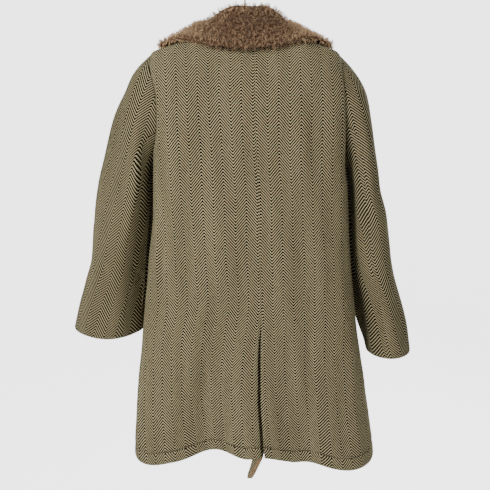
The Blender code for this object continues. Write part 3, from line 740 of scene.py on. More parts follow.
# %% Sleeve tables
SLEEVE_COLUMNS = "row outer_x outer_z inner_x inner_z back front ridge fall swing"
SLEEVE_LEFT = (
    (0, -0.2020, -0.165, -0.1990, -0.385, 0.062, 0.058, 0.50, 1.0, 0.000),
    (1, -0.2110, -0.174, -0.2010, -0.389, 0.062, 0.058, 0.50, 1.0, 0.000),
    (2, -0.2280, -0.190, -0.2030, -0.393, 0.061, 0.058, 0.52, 1.0, 0.000),
    (3, -0.2450, -0.213, -0.2050, -0.397, 0.060, 0.058, 0.55, 1.0, 0.000),
    (4, -0.2575, -0.239, -0.2068, -0.401, 0.059, 0.057, 0.60, 1.0, 0.004),
    (5, -0.2720, -0.266, -0.2082, -0.406, 0.057, 0.057, 0.66, 1.1, 0.011),
    (6, -0.2880, -0.302, -0.2095, -0.413, 0.056, 0.056, 0.72, 1.3, 0.015),
    (7, -0.3010, -0.345, -0.2105, -0.425, 0.055, 0.056, 0.77, 1.6, 0.018),
    (8, -0.3150, -0.395, -0.2120, -0.447, 0.054, 0.056, 0.79, 2.2, 0.020),
    (9, -0.3290, -0.450, -0.2135, -0.482, 0.053, 0.056, 0.77, 3.0, 0.021),
    (10, -0.3390, -0.510, -0.2170, -0.530, 0.052, 0.056, 0.71, 3.8, 0.022),
    (11, -0.3455, -0.570, -0.2225, -0.580, 0.050, 0.055, 0.65, 4.4, 0.022),
    (12, -0.3495, -0.610, -0.2270, -0.625, 0.048, 0.054, 0.60, 4.2, 0.021),
    (13, -0.3650, -0.660, -0.2305, -0.672, 0.047, 0.052, 0.57, 3.4, 0.021),
    (14, -0.3800, -0.710, -0.2350, -0.720, 0.050, 0.052, 0.56, 2.6, 0.021),
    (15, -0.3960, -0.770, -0.2400, -0.779, 0.058, 0.052, 0.56, 2.0, 0.020),
)
SLEEVE_RIGHT = (
    (0, 0.2020, -0.165, 0.2170, -0.385, 0.062, 0.058, 0.50, 1.0, 0.000),
    (1, 0.2100, -0.174, 0.2192, -0.389, 0.063, 0.059, 0.50, 1.0, 0.000),
    (2, 0.2250, -0.189, 0.2212, -0.393, 0.064, 0.060, 0.50, 1.0, 0.000),
    (3, 0.2415, -0.209, 0.2232, -0.397, 0.065, 0.061, 0.50, 1.0, 0.000),
    (4, 0.2550, -0.233, 0.2250, -0.402, 0.066, 0.062, 0.50, 1.0, 0.004),
    (5, 0.2630, -0.257, 0.2268, -0.408, 0.067, 0.063, 0.50, 1.0, 0.009),
    (6, 0.2710, -0.295, 0.2285, -0.416, 0.068, 0.064, 0.50, 1.0, 0.010),
    (7, 0.2790, -0.340, 0.2305, -0.430, 0.069, 0.065, 0.50, 1.0, 0.010),
    (8, 0.2880, -0.390, 0.2330, -0.455, 0.069, 0.066, 0.50, 1.0, 0.011),
    (9, 0.2970, -0.445, 0.2360, -0.495, 0.068, 0.066, 0.50, 1.0, 0.012),
    (10, 0.3150, -0.505, 0.2400, -0.540, 0.066, 0.066, 0.50, 1.0, 0.015),
    (11, 0.3240, -0.565, 0.2440, -0.590, 0.064, 0.066, 0.50, 1.0, 0.016),
    (12, 0.3335, -0.625, 0.2520, -0.645, 0.062, 0.065, 0.50, 1.0, 0.019),
    (13, 0.3530, -0.690, 0.2680, -0.705, 0.060, 0.064, 0.50, 1.0, 0.027),
    (14, 0.3720, -0.755, 0.2770, -0.765, 0.060, 0.062, 0.50, 1.0, 0.022),
    (15, 0.3840, -0.820, 0.2840, -0.828, 0.062, 0.060, 0.50, 1.0, 0.000),
)
SLEEVES = {-1: Table(SLEEVE_COLUMNS, SLEEVE_LEFT), 1: Table(SLEEVE_COLUMNS, SLEEVE_RIGHT)}
SWING_TURN = (1.25, 0.25)  # middle and half width of the inner front side, in half turns from the top
LAST_ROW = 15
SLEEVE_SEAM = {-1: 0.66, 1: 0.60}  # where the back seam lies, as a share of the half turn from the top
SLEEVE_FRONT_SEAM = 0.62
CUFF_DROOP = {-1: 0.007, 1: 0.002}  # how far the cuff hangs lower at its middle
SLEEVE_LAP = 0.005  # how far the two pieces lap at their seams, in radians
SETTLE_ROWS = 4  # rows over which a sleeve leaves the armhole's curve
CAP_ROWS = 2  # rows over which it fades
CAP_OUT = 0.0006  # how far the cap stands out beyond the armhole's edge

# Across is measured from the middle of the back towards the wearer's right, and top is the height above
# the cuff. The other columns are those of the body's creases.
SLEEVE_CREASES = {
    -1: (
        (-0.052, 0.190, 0.075, 0.050, 0.0075, 0.0045, 1.0),
        (-0.040, 0.150, 0.070, 0.046, 0.0080, 0.0030, -1.0),
        (0.020, 0.330, 0.220, -0.016, 0.0110, 0.0022, 1.0),
        (-0.020, 0.480, 0.180, -0.020, 0.0120, 0.0018, -1.0),
        (0.004, 0.130, 0.120, -0.010, 0.0120, 0.0022, 1.0),
        (-0.110, 0.260, 0.100, -0.040, 0.0090, 0.0030, 1.0),
    ),
    1: (
        (-0.058, 0.255, 0.060, 0.042, 0.0070, 0.0042, -1.0),
        (-0.052, 0.215, 0.070, 0.052, 0.0075, 0.0036, 1.0),
        (-0.048, 0.170, 0.060, 0.040, 0.0080, 0.0026, 1.0),
        (0.044, 0.330, 0.130, 0.014, 0.0100, 0.0024, -1.0),
        (0.010, 0.480, 0.200, 0.018, 0.0130, 0.0018, 1.0),
        (0.016, 0.140, 0.130, 0.012, 0.0120, 0.0020, -1.0),
        (0.105, 0.270, 0.090, 0.034, 0.0090, 0.0030, 1.0),
    ),
}
SEAM_ROLL = 0.0011
CUFF_ROLL = 0.0010
CAP_ROLL = 0.0002
GRAIN_LEAN = {-1: -6.0, 1: -6.4}  # degrees by which the grain leans inwards from the sleeve's own line
GRAIN_START = {-1: 0.0475, 1: -0.0160}
GRAIN_SCALE = 0.94
GRAIN_DEPTH = np.array([1.0, 0.4, 1.0])  # real sleeves hang flatter than these, and the weave keeps to that
STEADY_ROW = 7  # above it the grain keeps one direction


# %% Sleeve forms
def armhole_point(side, turn):
    """On the armhole's edge: turn 0 at the shoulder point, pi at the armpit, by way of the back."""
    z = armhole_height(turn)
    edges = [body_point(z, face, side * edge_distance(z, side, face)) for face in ("back", "front")]
    return np.where((turn <= math.pi)[..., None], *edges)


def sleeve_ellipse(side, row, turn):
    """On the sleeve's own sections."""
    read = SLEEVES[side].value
    behind = turn <= math.pi
    across = (1 - np.cos(turn)) / 2
    across = np.where(behind, across ** (np.log(read("ridge", row)) / math.log(0.5)), across)
    depth = np.where(behind, -read("back", row), read("front", row))
    bulge = np.abs(np.sin(turn))
    bulge = np.where(behind & (turn > math.pi / 2), bulge ** read("fall", row), bulge)
    middle, half = SWING_TURN
    swing = read("swing", row) * soft_bump((turn / math.pi - middle) / half)
    x = mix(read("outer_x", row), read("inner_x", row), across) - side * swing
    z = mix(read("outer_z", row), read("inner_z", row), across)
    droop = CUFF_DROOP[side] * np.clip((row - LAST_ROW) / 2 + 1, 0, 1) ** 2
    return np.stack([x, depth * bulge, z - droop * 4 * across * (1 - across)], -1)


def sleeve_point(side, row, turn):
    """The sleeve leaves the armhole's curve and settles into its sections within a few rows."""
    edge = armhole_point(side, turn) - sleeve_ellipse(side, np.zeros_like(row), turn)
    fade = np.clip(1 - row / SETTLE_ROWS, 0, None)[..., None] ** 2
    cap = np.clip(1 - row / CAP_ROWS, 0, None)[..., None] * np.array([side * CAP_OUT, 0, 0])
    return sleeve_ellipse(side, row, turn) + edge * fade + cap


def seam_turns(start, end, cells):
    """Turns between two seams, closer together at both."""
    start -= SLEEVE_LAP
    end += SLEEVE_LAP
    narrow = np.array([0.0, 0.012, 0.032, 0.06])
    inside = np.linspace(start + narrow[-1], end - narrow[-1], cells + 1)
    return np.concatenate([start + narrow[:-1], inside, end - narrow[-2::-1]])


def sleeve_rows():
    cap = np.linspace(0, 5, 22)[:-1]
    arm = np.linspace(5, LAST_ROW, 88)
    cuff = LAST_ROW - np.array([0.07, 0.035, 0.014])
    return merged(np.concatenate([cap, arm]), [0.05, 0.12, *cuff], 0.02)


def grain_metres(side, grid, rows, across, height):
    """Carries the weave's metres up from the cuff, along the sleeve's own line and square to it."""
    read = SLEEVES[side].value
    middle = [read("outer_" + axis, rows) + read("inner_" + axis, rows) for axis in "xz"]
    line = unit(-np.gradient(np.stack([middle[0], np.zeros_like(rows), middle[1]], -1), axis=0))
    steady = int(np.searchsorted(rows, STEADY_ROW))
    line[:steady] = line[steady]
    normals = grid_normals(grid)
    up = unit(line[:, None] - normals * (normals * line[:, None]).sum(-1, keepdims=True))
    aside = np.cross(up, normals)
    forward = np.sign((np.diff(across[-1]) * (np.diff(grid[-1], axis=0) * aside[-1, :-1]).sum(-1)).sum())
    across, height = across.copy(), height.copy()
    for index in range(len(rows) - 2, -1, -1):
        step = grid[index] - grid[index + 1]
        across[index] = across[index + 1] + forward * (step * aside[index + 1]).sum(-1)
        height[index] = height[index + 1] + (step * up[index + 1]).sum(-1)
    return across, height


def sleeve_piece(side, turns, middle):
    """One piece of a sleeve, with its weave measured from the cuff and from its middle line."""
    rows = sleeve_rows()
    row, turn = np.meshgrid(rows, turns, indexing="ij")
    grid = sleeve_point(side, row, turn % (2 * math.pi))
    if side < 0:
        grid = grid[:, ::-1]
        turns = turns[::-1]
    centre = int(np.abs(turns - middle).argmin())

    def measures(points):
        width, down = lengths_along(points, 1), lengths_along(points, 0)
        return width, down, width[:, [centre]] - width, down[-1] - down

    width, down, across, height = measures(grid)
    move = crease_move(SLEEVE_CREASES[side], across, height) + uneven(across + 0.2, height)
    move *= np.clip(down / 0.03, 0, 1)
    move += roll_edge(width, SEAM_ROLL) + roll_edge(width[:, [-1]] - width, SEAM_ROLL)
    move += roll_edge(height, CUFF_ROLL) + roll_edge(down, CAP_ROLL)
    flat = grid * GRAIN_DEPTH
    across, height = grain_metres(side, flat, rows, *measures(flat)[2:])
    lean = math.radians(GRAIN_LEAN[side]) * -side
    stripe = GRAIN_SCALE * (across * math.cos(lean) + height * math.sin(lean)) + GRAIN_START[side]
    grain = GRAIN_SCALE * (height * math.cos(lean) - across * math.sin(lean))
    return grid + grid_normals(grid) * move[..., None], wander(stripe, grain)


for side, name in SIDES.items():
    back_seam = math.pi * SLEEVE_SEAM[side]
    front_seam = -math.pi * SLEEVE_FRONT_SEAM
    upper = seam_turns(front_seam, back_seam, 40)
    under = seam_turns(back_seam, front_seam + 2 * math.pi, 24)
    cloth_piece("upper_sleeve_" + name, "sleeve", *sleeve_piece(side, upper, math.pi / 2))
    cloth_piece("under_sleeve_" + name, "sleeve", *sleeve_piece(side, under, math.pi))

# %% [markdown]
# ## Fur collar
#
# The collar is shearling: a skin with short tight curls. It folds over a standing crest and falls on the
# shoulders, and its ends run to the centre front. We make the skin first, a closed band a few millimetres
# thick, and then let Geometry Nodes grow the curls on the side that shows. Each curl is a small tapering
# spiral of three sides. Neighbours lean the same way, which gives the clumps of curly fur.

# %% The collar's form
COLLAR_CLEAR = 0.0018
COLLAR_SEAT = 0.0004
COLLAR_CENTRE = 0.0015
RIDGE_EASE = 0.0006
RIDGE_WIDTH = 0.3
FRONT_NECK_LOW = -0.177
FRONT_NECK_CURVE = 1.2
SKIN = 0.0055
FUR_LENGTH = 0.0095
COLLAR = Table(
    "turn edge_x edge_z stand",
    ((0.00, 0.000, -0.1720, 0.0565), (0.20, 0.036, -0.1700, 0.0575), (0.40, 0.070, -0.1650, 0.0475),
     (0.60, 0.104, -0.1565, 0.0300), (0.80, 0.138, -0.1510, 0.0200), (0.92, 0.166, -0.1560, 0.0200),
     (1.00, 0.182, -0.1620, 0.0200), (1.05, 0.182, -0.1640, 0.0190), (1.12, 0.179, -0.1690, 0.0170),
     (1.25, 0.165, -0.1900, 0.0160), (1.45, 0.149, -0.2220, 0.0160), (1.65, 0.127, -0.2500, 0.0160),
     (1.85, 0.102, -0.2690, 0.0160), (2.00, 0.080, -0.2760, 0.0150)),
)
COLLAR_UNDER = (0.12, 0.35, 0.65, 0.88)
COLLAR_OVER = (0.90, 0.72, 0.54, 0.42, 0.30, 0.16)
COLLAR_CREST = ((1.00, -0.004), (0.98, 0.0), (0.80, 0.0035), (0.40, 0.0035))
CREST_LEAN = np.array([-0.003, 0.0, 0.0])
VALLEY = 0.0038
VALLEY_SHARE = (0.40, 0.17)  # middle and half width of the valley, as shares of the fall
VALLEY_TURN = 0.75
TIP_FULLNESS = 0.0035
BACK_LIFT = 0.0065  # how far the edge stands off the back
TIP_LIFT = 0.0045  # how far it stands off the shoulders near the tips
UP = np.array([0.0, 0.0, 1.0])
BACK_TURNS = 1 - np.linspace(1, 0, 29)[:-1] ** 1.25
FRONT_TURNS = 1 + np.linspace(0, 1, 33) ** 1.25


def edge_seat(side, face, x, z):
    """Distance along the body at which the form reaches a sideways place."""
    line_x, line_y, lengths = section_line(z, side, face)
    reach = side * (line_x - COLLAR_CENTRE)
    low = np.clip((reach < x[:, None]).sum(-1), 1, SECTION_STEPS) - 1
    before = pick(reach, low)
    return between(lengths, low, np.clip((x - before) / (pick(reach, low + 1) - before), 0, 1))


def collar_sections(side, face, turn):
    """Closed sections of the skin: under face, edge, fur face, crest, inner face."""
    if face == "back":
        neck_z = NECK_TOP - neck_drop(NECK_TOP, turn)
        neck_distance = turn * side_length(neck_z, side, face)
    else:
        neck_z = mix(NECK_TOP, FRONT_NECK_LOW, np.clip(turn - 1, 0, None) ** FRONT_NECK_CURVE)
        neck_distance = FRONT_EDGE.value("distance", neck_z)
    edge_z = COLLAR.value("edge_z", turn) + FUR_LENGTH * 0.35
    fall_end = edge_seat(side, face, COLLAR.value("edge_x", turn), edge_z)
    stand = (COLLAR.value("stand", turn) - FUR_LENGTH * 0.45)[:, None] * UP
    neck_share = neck_distance / side_length(neck_z, side, face)
    edge_share = fall_end / side_length(edge_z, side, face)
    ease = RIDGE_EASE * soft_bump((turn - 1) / RIDGE_WIDTH)
    near_tip = (turn - 0.85) / 0.4

    def on_body(share, out):
        out = out + (BACK_LIFT * soft_bump(turn) + TIP_LIFT * soft_bump(near_tip)) * share**2
        z = mix(neck_z, edge_z, share)
        distance = mix(neck_share, edge_share, share) * side_length(z, side, face)
        cover = over_lift(distance) if face == "front" else 0.0
        return surface_point(z, face, side * distance, out + cover + ease)

    neck = on_body(0.0, 0.0) + UP * COLLAR_SEAT
    inward = unit(np.array([COLLAR_CENTRE, 0, 0]) - neck * np.array([1, 1, 0]))
    ring = [neck + inward * WALL, on_body(0.0, COLLAR_CLEAR * 0.8) + UP * COLLAR_SEAT]
    ring += [on_body(share, COLLAR_CLEAR) for share in COLLAR_UNDER]
    ring += [on_body(0.97, COLLAR_CLEAR + SKIN * 0.2), on_body(0.98, COLLAR_CLEAR + SKIN * 0.8)]
    for share in COLLAR_OVER:
        sunk = soft_bump((share - VALLEY_SHARE[0]) / VALLEY_SHARE[1]) * soft_bump(turn / VALLEY_TURN)
        full = TIP_FULLNESS * soft_bump((turn - 0.95) / 0.4) * math.sin(math.pi * share)
        over = on_body(share, COLLAR_CLEAR + SKIN - VALLEY * sunk + full)
        ring.append(over + stand * (1 - share) ** 3 + CREST_LEAN * (1 - share) ** 2)
    ring += [neck + stand * share + inward * inwards + CREST_LEAN * share for share, inwards in COLLAR_CREST]
    return np.stack(ring, 1)


def collar_half(side):
    parts = (("back", BACK_TURNS), ("front", FRONT_TURNS))
    return np.concatenate([collar_sections(side, face, turns) for face, turns in parts])


left_half = collar_half(-1)
right_half = collar_half(1)
middle = (left_half[:1] + right_half[:1]) / 2
COLLAR_GRID = np.concatenate([left_half[:0:-1], middle, right_half[1:]])
print("collar", COLLAR_GRID.shape, "lowest", round(float(COLLAR_GRID[..., 2].min()), 4))

# %% The skin as a closed band
HIDDEN_RINGS = 2 + len(COLLAR_UNDER)  # points of each section that lie under the collar and grow no fur
# Painted light and shade of the fur: the crest's rings are painted paler as painted light, those in the
# valley darker as painted shade, and from a turn on towards the ends the outline is painted paler as painted
# light.
PAINTED_LIGHT_AND_SHADE = (0.10, 0.15, 0.16, 0.18, 0.10, 0.0, 0.0, 0.10, 0.45, 0.75, 0.70, 0.40)  # edge, face and crest
PAINTED_LIGHT_FROM = (0.35, 0.5)  # the turn from which the tips grow pale, and how soon


def plain_mesh(item):
    """Makes what the modifiers give the object's own mesh."""
    graph = bpy.context.evaluated_depsgraph_get()
    mesh = bpy.data.meshes.new_from_object(item.evaluated_get(graph))
    item.modifiers.clear()
    item.data = mesh


def grained(name, grain, dark, light, finish, stretch=(1, 1, 1), fine=None, core=(0.0, 1.0)):
    """A surface with one grain in its colour and the same, or a finer one, in its gloss and relief."""
    material, wire, shader = new_material(name)
    place = wire.add("TexCoord", out="Object")
    place = wire.add("Mapping", {"Vector": place, "Scale": stretch})
    tone = wire.noise(place, *grain)
    relief = wire.noise(place, *fine) if fine else tone
    inputs = {"Base Color": wire.blend(wire.span(tone, 0.0, 1.0, *core), dark, light)}
    for key, value in finish.items():
        if key == "Bump":
            inputs["Normal"] = wire.bump(relief, *value)
        else:
            inputs[key] = wire.span(relief, *value) if isinstance(value, tuple) else value
    wire.fill(shader, inputs)
    return material


def set_attribute(item, name, values):
    item.data.attributes.new(name, "FLOAT", "POINT").data.foreach_set("value", values)


def collar_band():
    rows, columns = COLLAR_GRID.shape[:2]
    ends = [tuple(range(columns)), tuple(range(rows * columns - 1, (rows - 1) * columns - 1, -1))]
    hide = {"Roughness": 0.9, "Bump": (0.0004, 0.6)}
    skin = grained("collar_skin", (260.0, 4.0, 0.6), (0.090, 0.048, 0.024), (0.170, 0.095, 0.050), hide)
    faces = quad_faces(rows, columns, closed=True, flip=True) + ends
    item = mesh_object("collar_skin", COLLAR_GRID.reshape(-1, 3), faces, skin)
    half = np.concatenate([BACK_TURNS, FRONT_TURNS])
    turn = np.concatenate([half[:0:-1], half])[:, None]
    # The pale mark is painted light and shade: paler on the crest and the outline, darker in the valley.
    pale = np.array([*[0.5] * HIDDEN_RINGS, *PAINTED_LIGHT_AND_SHADE])
    pale = np.clip(pale + np.clip((turn - PAINTED_LIGHT_FROM[0]) / PAINTED_LIGHT_FROM[1], 0, 1), 0, 1)
    set_attribute(item, "furry", np.tile(np.arange(columns) >= HIDDEN_RINGS, rows).astype(float))
    set_attribute(item, "pale", pale.ravel())
    smooth = item.modifiers.new("Smooth", "SUBSURF")
    smooth.levels = 1
    smooth.render_levels = 1
    plain_mesh(item)
    item.data.shade_smooth()
    return hand_over(item, "fur_collar")


collar_skin = collar_band()
print("skin", len(collar_skin.data.polygons))


# %% The fur's colour
def fur_material():
    """Dark at the roots, partly as painted shade deep in the fur, light at the tips, painted lighter on the
    crest and the outline and darker in the valley by the skin's painted light and shade, with painted shade
    in small gaps between the curls, and with tufts and broad patches of their own tone.
    """
    material, wire, shader = new_material("curly_fur")
    tip, tone = [wire.add("Attribute", out="Fac", attribute_name=name) for name in ("tip", "tone")]
    place = wire.add("TexCoord", out="Object")
    # The tone carries painted light on the crest and the outline and painted shade in the collar's valley,
    # besides each curl's own random tone.
    warm = wire.blend(tone, (0.43, 0.225, 0.105), (1.00, 0.70, 0.39))
    # The dark roots are partly the fur's own darker base and partly painted shade deep in the fur.
    root = wire.blend(tone, (0.030, 0.015, 0.007), (0.55, 0.340, 0.190))
    colour = wire.blend(wire.calc("POWER", tip, 1.1), root, warm)
    patch = wire.span(wire.noise(place, 22.0), 0.78, 1.22, *NOISE_CORE)
    # Painted shade: small dark specks stand for the shade in the gaps between the curls, strongest where the
    # tone is dark.
    curl_gap_shade = wire.span(wire.noise(place, 380.0, 1.0), 0.12, 1.0, 0.36, 0.48)
    gap_shade_by_tone = wire.calc("MULTIPLY_ADD", wire.calc("SUBTRACT", 1.0, curl_gap_shade), tone, curl_gap_shade)
    colour = wire.vector("SCALE", colour, wire.calc("MULTIPLY", patch, gap_shade_by_tone))
    wool = {"Base Color": colour, "Roughness": 0.65, "Specular IOR Level": 0.3}
    wire.fill(shader, wool | {"Sheen Weight": 0.25, "Sheen Roughness": 0.4})
    return material


# %% Curls with Geometry Nodes
CURLS = (  # turns, radius, length and thickness, the last two as shares
    (1.7, 0.0020, 0.90, 1.00),
    (1.3, 0.0025, 0.80, 1.10),
    (2.1, 0.0016, 1.00, 0.90),
    (0.5, 0.0016, 1.20, 0.30),
)
CLUMP_SCALE = 120.0
SIZES = (0.65, 1.1)


def curl_shape(wire, turns, radius, length, thickness):
    """One tapering spiral lock, which carries how near its tip each point is."""
    calc = wire.calc
    line = wire.add("CurvePrimitiveLine", {"End": (0, 0, 0.01)})
    fine = wire.add("ResampleCurve", {"Curve": line, "Count": 9})
    factor = wire.add("SplineParameter", out="Factor")
    angle = calc("MULTIPLY", factor, turns * 2 * math.pi)
    reach = calc("MULTIPLY", calc("POWER", factor, 0.7), radius)
    x = calc("MULTIPLY", calc("COSINE", angle), reach)
    y = calc("MULTIPLY", calc("SINE", angle), reach)
    z = calc("MULTIPLY", calc("POWER", factor, 0.85), length)
    place = wire.add("CombineXYZ", {0: x, 1: y, 2: z})
    moved = wire.add("SetPosition", {"Geometry": fine, "Position": place})
    slim = calc("MULTIPLY", calc("POWER", calc("SUBTRACT", 1.06, factor), 0.6), thickness)
    profile = wire.add("CurvePrimitiveCircle", {"Resolution": 3, "Radius": 1.0})
    body = {"Curve": wire.store(moved, "tip", factor), "Profile Curve": profile, "Scale": slim}
    return wire.add("CurveToMesh", body)


def fur_group():
    takes = {"Geometry": "Geometry", "Density": "Float", "Length": "Float", "Thickness": "Float"}
    takes |= {"Lean": "Float", "Seed": "Int", "Material": "Material"}
    tree, wire, given = node_group("fur_curls", "Geometry", takes, {"Geometry": "Geometry"})
    calc = wire.calc
    cover = calc("MULTIPLY", wire.attribute("furry"), given["Density"])
    spread = {"Mesh": given["Geometry"], "Density": cover, "Seed": given["Seed"]}
    points = wire.add("DistributePointsOnFaces", spread, out="Points")
    locks = wire.add("JoinGeometry")
    for turns, radius, length, thickness in CURLS:
        sized = [calc("MULTIPLY", given["Length"], length), calc("MULTIPLY", given["Thickness"], thickness)]
        lock = wire.add("GeometryToInstance", {0: curl_shape(wire, turns, radius, *sized)})
        tree.links.new(lock, locks.node.inputs[0])
    clump = {"Vector": wire.add("InputPosition"), "Scale": CLUMP_SCALE, "Detail": 1.0}
    centred = wire.vector("SUBTRACT", wire.add("TexNoise", clump, out="Color"), (0.5, 0.5, 0.5))
    lean = wire.vector("SCALE", centred, given["Lean"])
    aim = wire.vector("ADD", points.node.outputs["Normal"], lean)
    stand = wire.add("AlignRotationToVector", {"Vector": aim}, axis="Z")

    def chance(sort, out, inputs):
        return wire.add("RandomValue", inputs, out=out, data_type=sort)

    spin = chance("FLOAT_VECTOR", 0, {"Max": (0, 0, 2 * math.pi), "Seed": 3})
    turn = wire.add("EulerToRotation", {0: spin})
    turned = wire.add("RotateRotation", {0: stand, 1: turn}, rotation_space="LOCAL")
    placed = {"Points": points, "Instance": locks, "Pick Instance": True, "Rotation": turned}
    placed["Instance Index"] = chance("INT", 2, {4: 0, 5: len(CURLS) - 1, "Seed": 11})
    placed["Scale"] = chance("FLOAT", 1, {2: SIZES[0], 3: SIZES[1], "Seed": 7})
    tufts = wire.add("InstanceOnPoints", placed)
    own = chance("FLOAT", 1, {2: 0.0, 3: 0.45, "Seed": 19})
    # The curls take the skin's painted light and shade, with a random share of their own tone.
    tone = calc("MULTIPLY_ADD", wire.attribute("pale"), 0.6, own)
    wire.real_mesh(wire.store(tufts, "tone", tone, "INSTANCE"), given["Material"])
    return tree


# %% Growing the fur
FUR_DENSITY = 105000.0  # curls to the square metre, before the skin's own share
CURL_THICKNESS = 0.00095
CURL_LEAN = 1.5
FUR_SPLIT = 0.004  # where the collar's left half ends
FUR = fur_material()
FUR_GROUP = fur_group()


def run_nodes(item, group, **values):
    """Lets a node group work on an object with its inputs set by name, and makes the result plain."""
    modifier = item.modifiers.new(group.name, "NODES")
    modifier.node_group = group
    for socket in group.interface.items_tree:
        if socket.item_type == "SOCKET" and socket.in_out == "INPUT" and socket.name in values:
            modifier[socket.identifier] = values[socket.name]
    plain_mesh(item)


def grow_fur(item, density, length, thickness, lean, seed):
    sizes = {"Density": density, "Length": length, "Thickness": thickness}
    run_nodes(item, FUR_GROUP, **sizes, Lean=lean, Seed=seed, Material=FUR)
    print(item.name, "triangles", sum(len(face.vertices) - 2 for face in item.data.polygons))
    return hand_over(item)


def collar_quarter(quarter, mesh):
    """A new object of the skin's faces whose middle lies in one quarter of the collar."""
    face, half = quarter.split("_")
    faces = []
    for polygon in mesh.polygons:
        middle = polygon.center
        if (middle.y < 0) == (face == "back") and (middle.x < FUR_SPLIT) == (half == "left"):
            faces.append(tuple(polygon.vertices))
    used = sorted({corner for face in faces for corner in face})
    place = {corner: index for index, corner in enumerate(used)}
    points = [mesh.vertices[corner].co for corner in used]
    faces = [[place[corner] for corner in face] for face in faces]
    item = mesh_object("collar_fur_" + quarter, points, faces, FUR)
    for mark in ("furry", "pale"):
        values = mesh.attributes[mark].data
        set_attribute(item, mark, [values[corner].value for corner in used])
    return item


for seed, quarter in enumerate(("back_left", "back_right", "front_left", "front_right")):
    fur = collar_quarter(quarter, collar_skin.data)
    grow_fur(fur, FUR_DENSITY, FUR_LENGTH, CURL_THICKNESS, CURL_LEAN, seed)

# %% [markdown]
# ## Fur on the underlap's corner
#
# The loose corner below the hem shows tweed on its left half and something like the collar's fur on its
# right. We lay a narrow strip on the underlap's outer face along its right edge and grow the same curls on
# it, much shorter.

# %% The strip of short fur
TIP_FUR_TOP = HEM + 0.004
TIP_FUR_WIDTH = 0.0085
TIP_FUR_LENGTH = 0.0035
TIP_FUR_DENSITY = 400000.0

height = np.linspace(-1.1005, TIP_FUR_TOP, 14)
right = UNDERLAP.value("right", height)[:, None] - 0.001
distance = mix(right - TIP_FUR_WIDTH, right, np.linspace(0, 1, 5))
strip = hanging_strip(height, distance, 0.0003 - UNDERLAP_IN)
tip = mesh_object("vent_tip_fur", strip.reshape(-1, 3), quad_faces(*distance.shape), FUR)
set_attribute(tip, "furry", np.ones(distance.size))
set_attribute(tip, "pale", np.full(distance.size, 0.6))
SHEETS["vent_underlap"]["extras"].append(grow_fur(tip, TIP_FUR_DENSITY, TIP_FUR_LENGTH, 0.0005, 1.2, 9))

# %% [markdown]
# ## Hem stitches
#
# The hem is turned up and sewn twenty-six millimetres above its edge. On the real coat that line shows as a
# faint dark row with small puckers. The panels already dip there. Now a node group lays short dark stitches
# along the very row of points where each panel dips, so that they sit in the dip at every fold.


# %% Stitches with Geometry Nodes
def stitch_group():
    takes = {"Geometry": "Geometry", "Spacing": "Float", "Length": "Float", "Thickness": "Float"}
    gives = {"Geometry": "Geometry"}
    tree, wire, given = node_group("stitch_row", "Geometry", takes | {"Material": "Material"}, gives)
    path = wire.add("MeshToCurve", {"Mesh": given["Geometry"]})
    even = wire.add("ResampleCurve", {"Curve": path, "Length": given["Spacing"]}, mode="LENGTH")
    tangent = wire.add("InputTangent")
    aim = wire.add("AlignRotationToVector", {"Vector": tangent}, axis="Z")
    bead = wire.add("MeshUVSphere", {"Segments": 6, "Rings": 5, "Radius": 0.5})
    size = {0: given["Thickness"], 1: given["Thickness"], 2: given["Length"]}
    placed = {"Points": even, "Instance": bead, "Rotation": aim}
    placed["Scale"] = wire.add("CombineXYZ", size)
    wire.real_mesh(wire.add("InstanceOnPoints", placed), given["Material"])
    return tree


WAXED = {"Roughness": 0.8, "Bump": (0.0001, 0.5)}
THREAD = grained("hem_thread", (2500.0,), (0.006, 0.004, 0.003), (0.030, 0.020, 0.012), WAXED)
STITCH_GROUP = stitch_group()


def stitch_row(name, points, spacing, length, thickness):
    edges = [(index, index + 1) for index in range(len(points) - 1)]
    item = mesh_object(name, points, [], THREAD, edges=edges)
    run_nodes(item, STITCH_GROUP, Spacing=spacing, Length=length, Thickness=thickness, Material=THREAD)
    return hand_over(item)


hem_row = int(np.abs(panel_rows() - HEM_LINE).argmin())
for node in ("back_left", "back_right", "front_left", "front_right"):
    line = GRIDS[node][hem_row] + grid_normals(GRIDS[node])[hem_row] * 0.0001
    start = 46 if node == "front_left" else 2  # the under front's first points lie behind the over front
    row = stitch_row(node + "_hem_stitches", line[start:-2], 0.0062, 0.0052, 0.0023)
    SHEETS[node]["extras"].append(row)
print("hem row", hem_row)

# %% [markdown]
# ## Buttons
#
# Nothing of the front shows in the photograph, so the buttons are the usual ones for such a coat: dark horn,
# turned with a raised rim and a dish, with four holes sewn crosswise. A profile is turned round its axis,
# the holes are cut with a Boolean, and the finished button is laid on each place of the over front.

# %% Turning a profile and cutting the holes
BUTTON_RADIUS = 0.014
BUTTON_THICK = 0.0045
BUTTON_SHANK = 0.0012
BUTTON_GAP = 0.0004
BUTTON_OUT = 0.065
BUTTON_ROWS = (-0.33, -0.47, -0.61)
HOLE_OUT = 0.0025
BUTTON_PROFILE = (  # radius and height, as shares of the button's own
    (0.0, 0.62), (0.30, 0.62), (0.58, 0.68), (0.68, 0.84), (0.76, 0.98), (0.86, 1.00), (0.94, 0.90),
    (0.99, 0.66), (1.00, 0.45), (0.97, 0.22), (0.88, 0.06), (0.70, 0.00), (0.32, 0.00), (0.28, -0.26),
    (0.0, -0.26),
)
DRILL = ((0, 0.006), (0.0011, 0.006), (0.0011, 0.0022), (0, 0.0022))


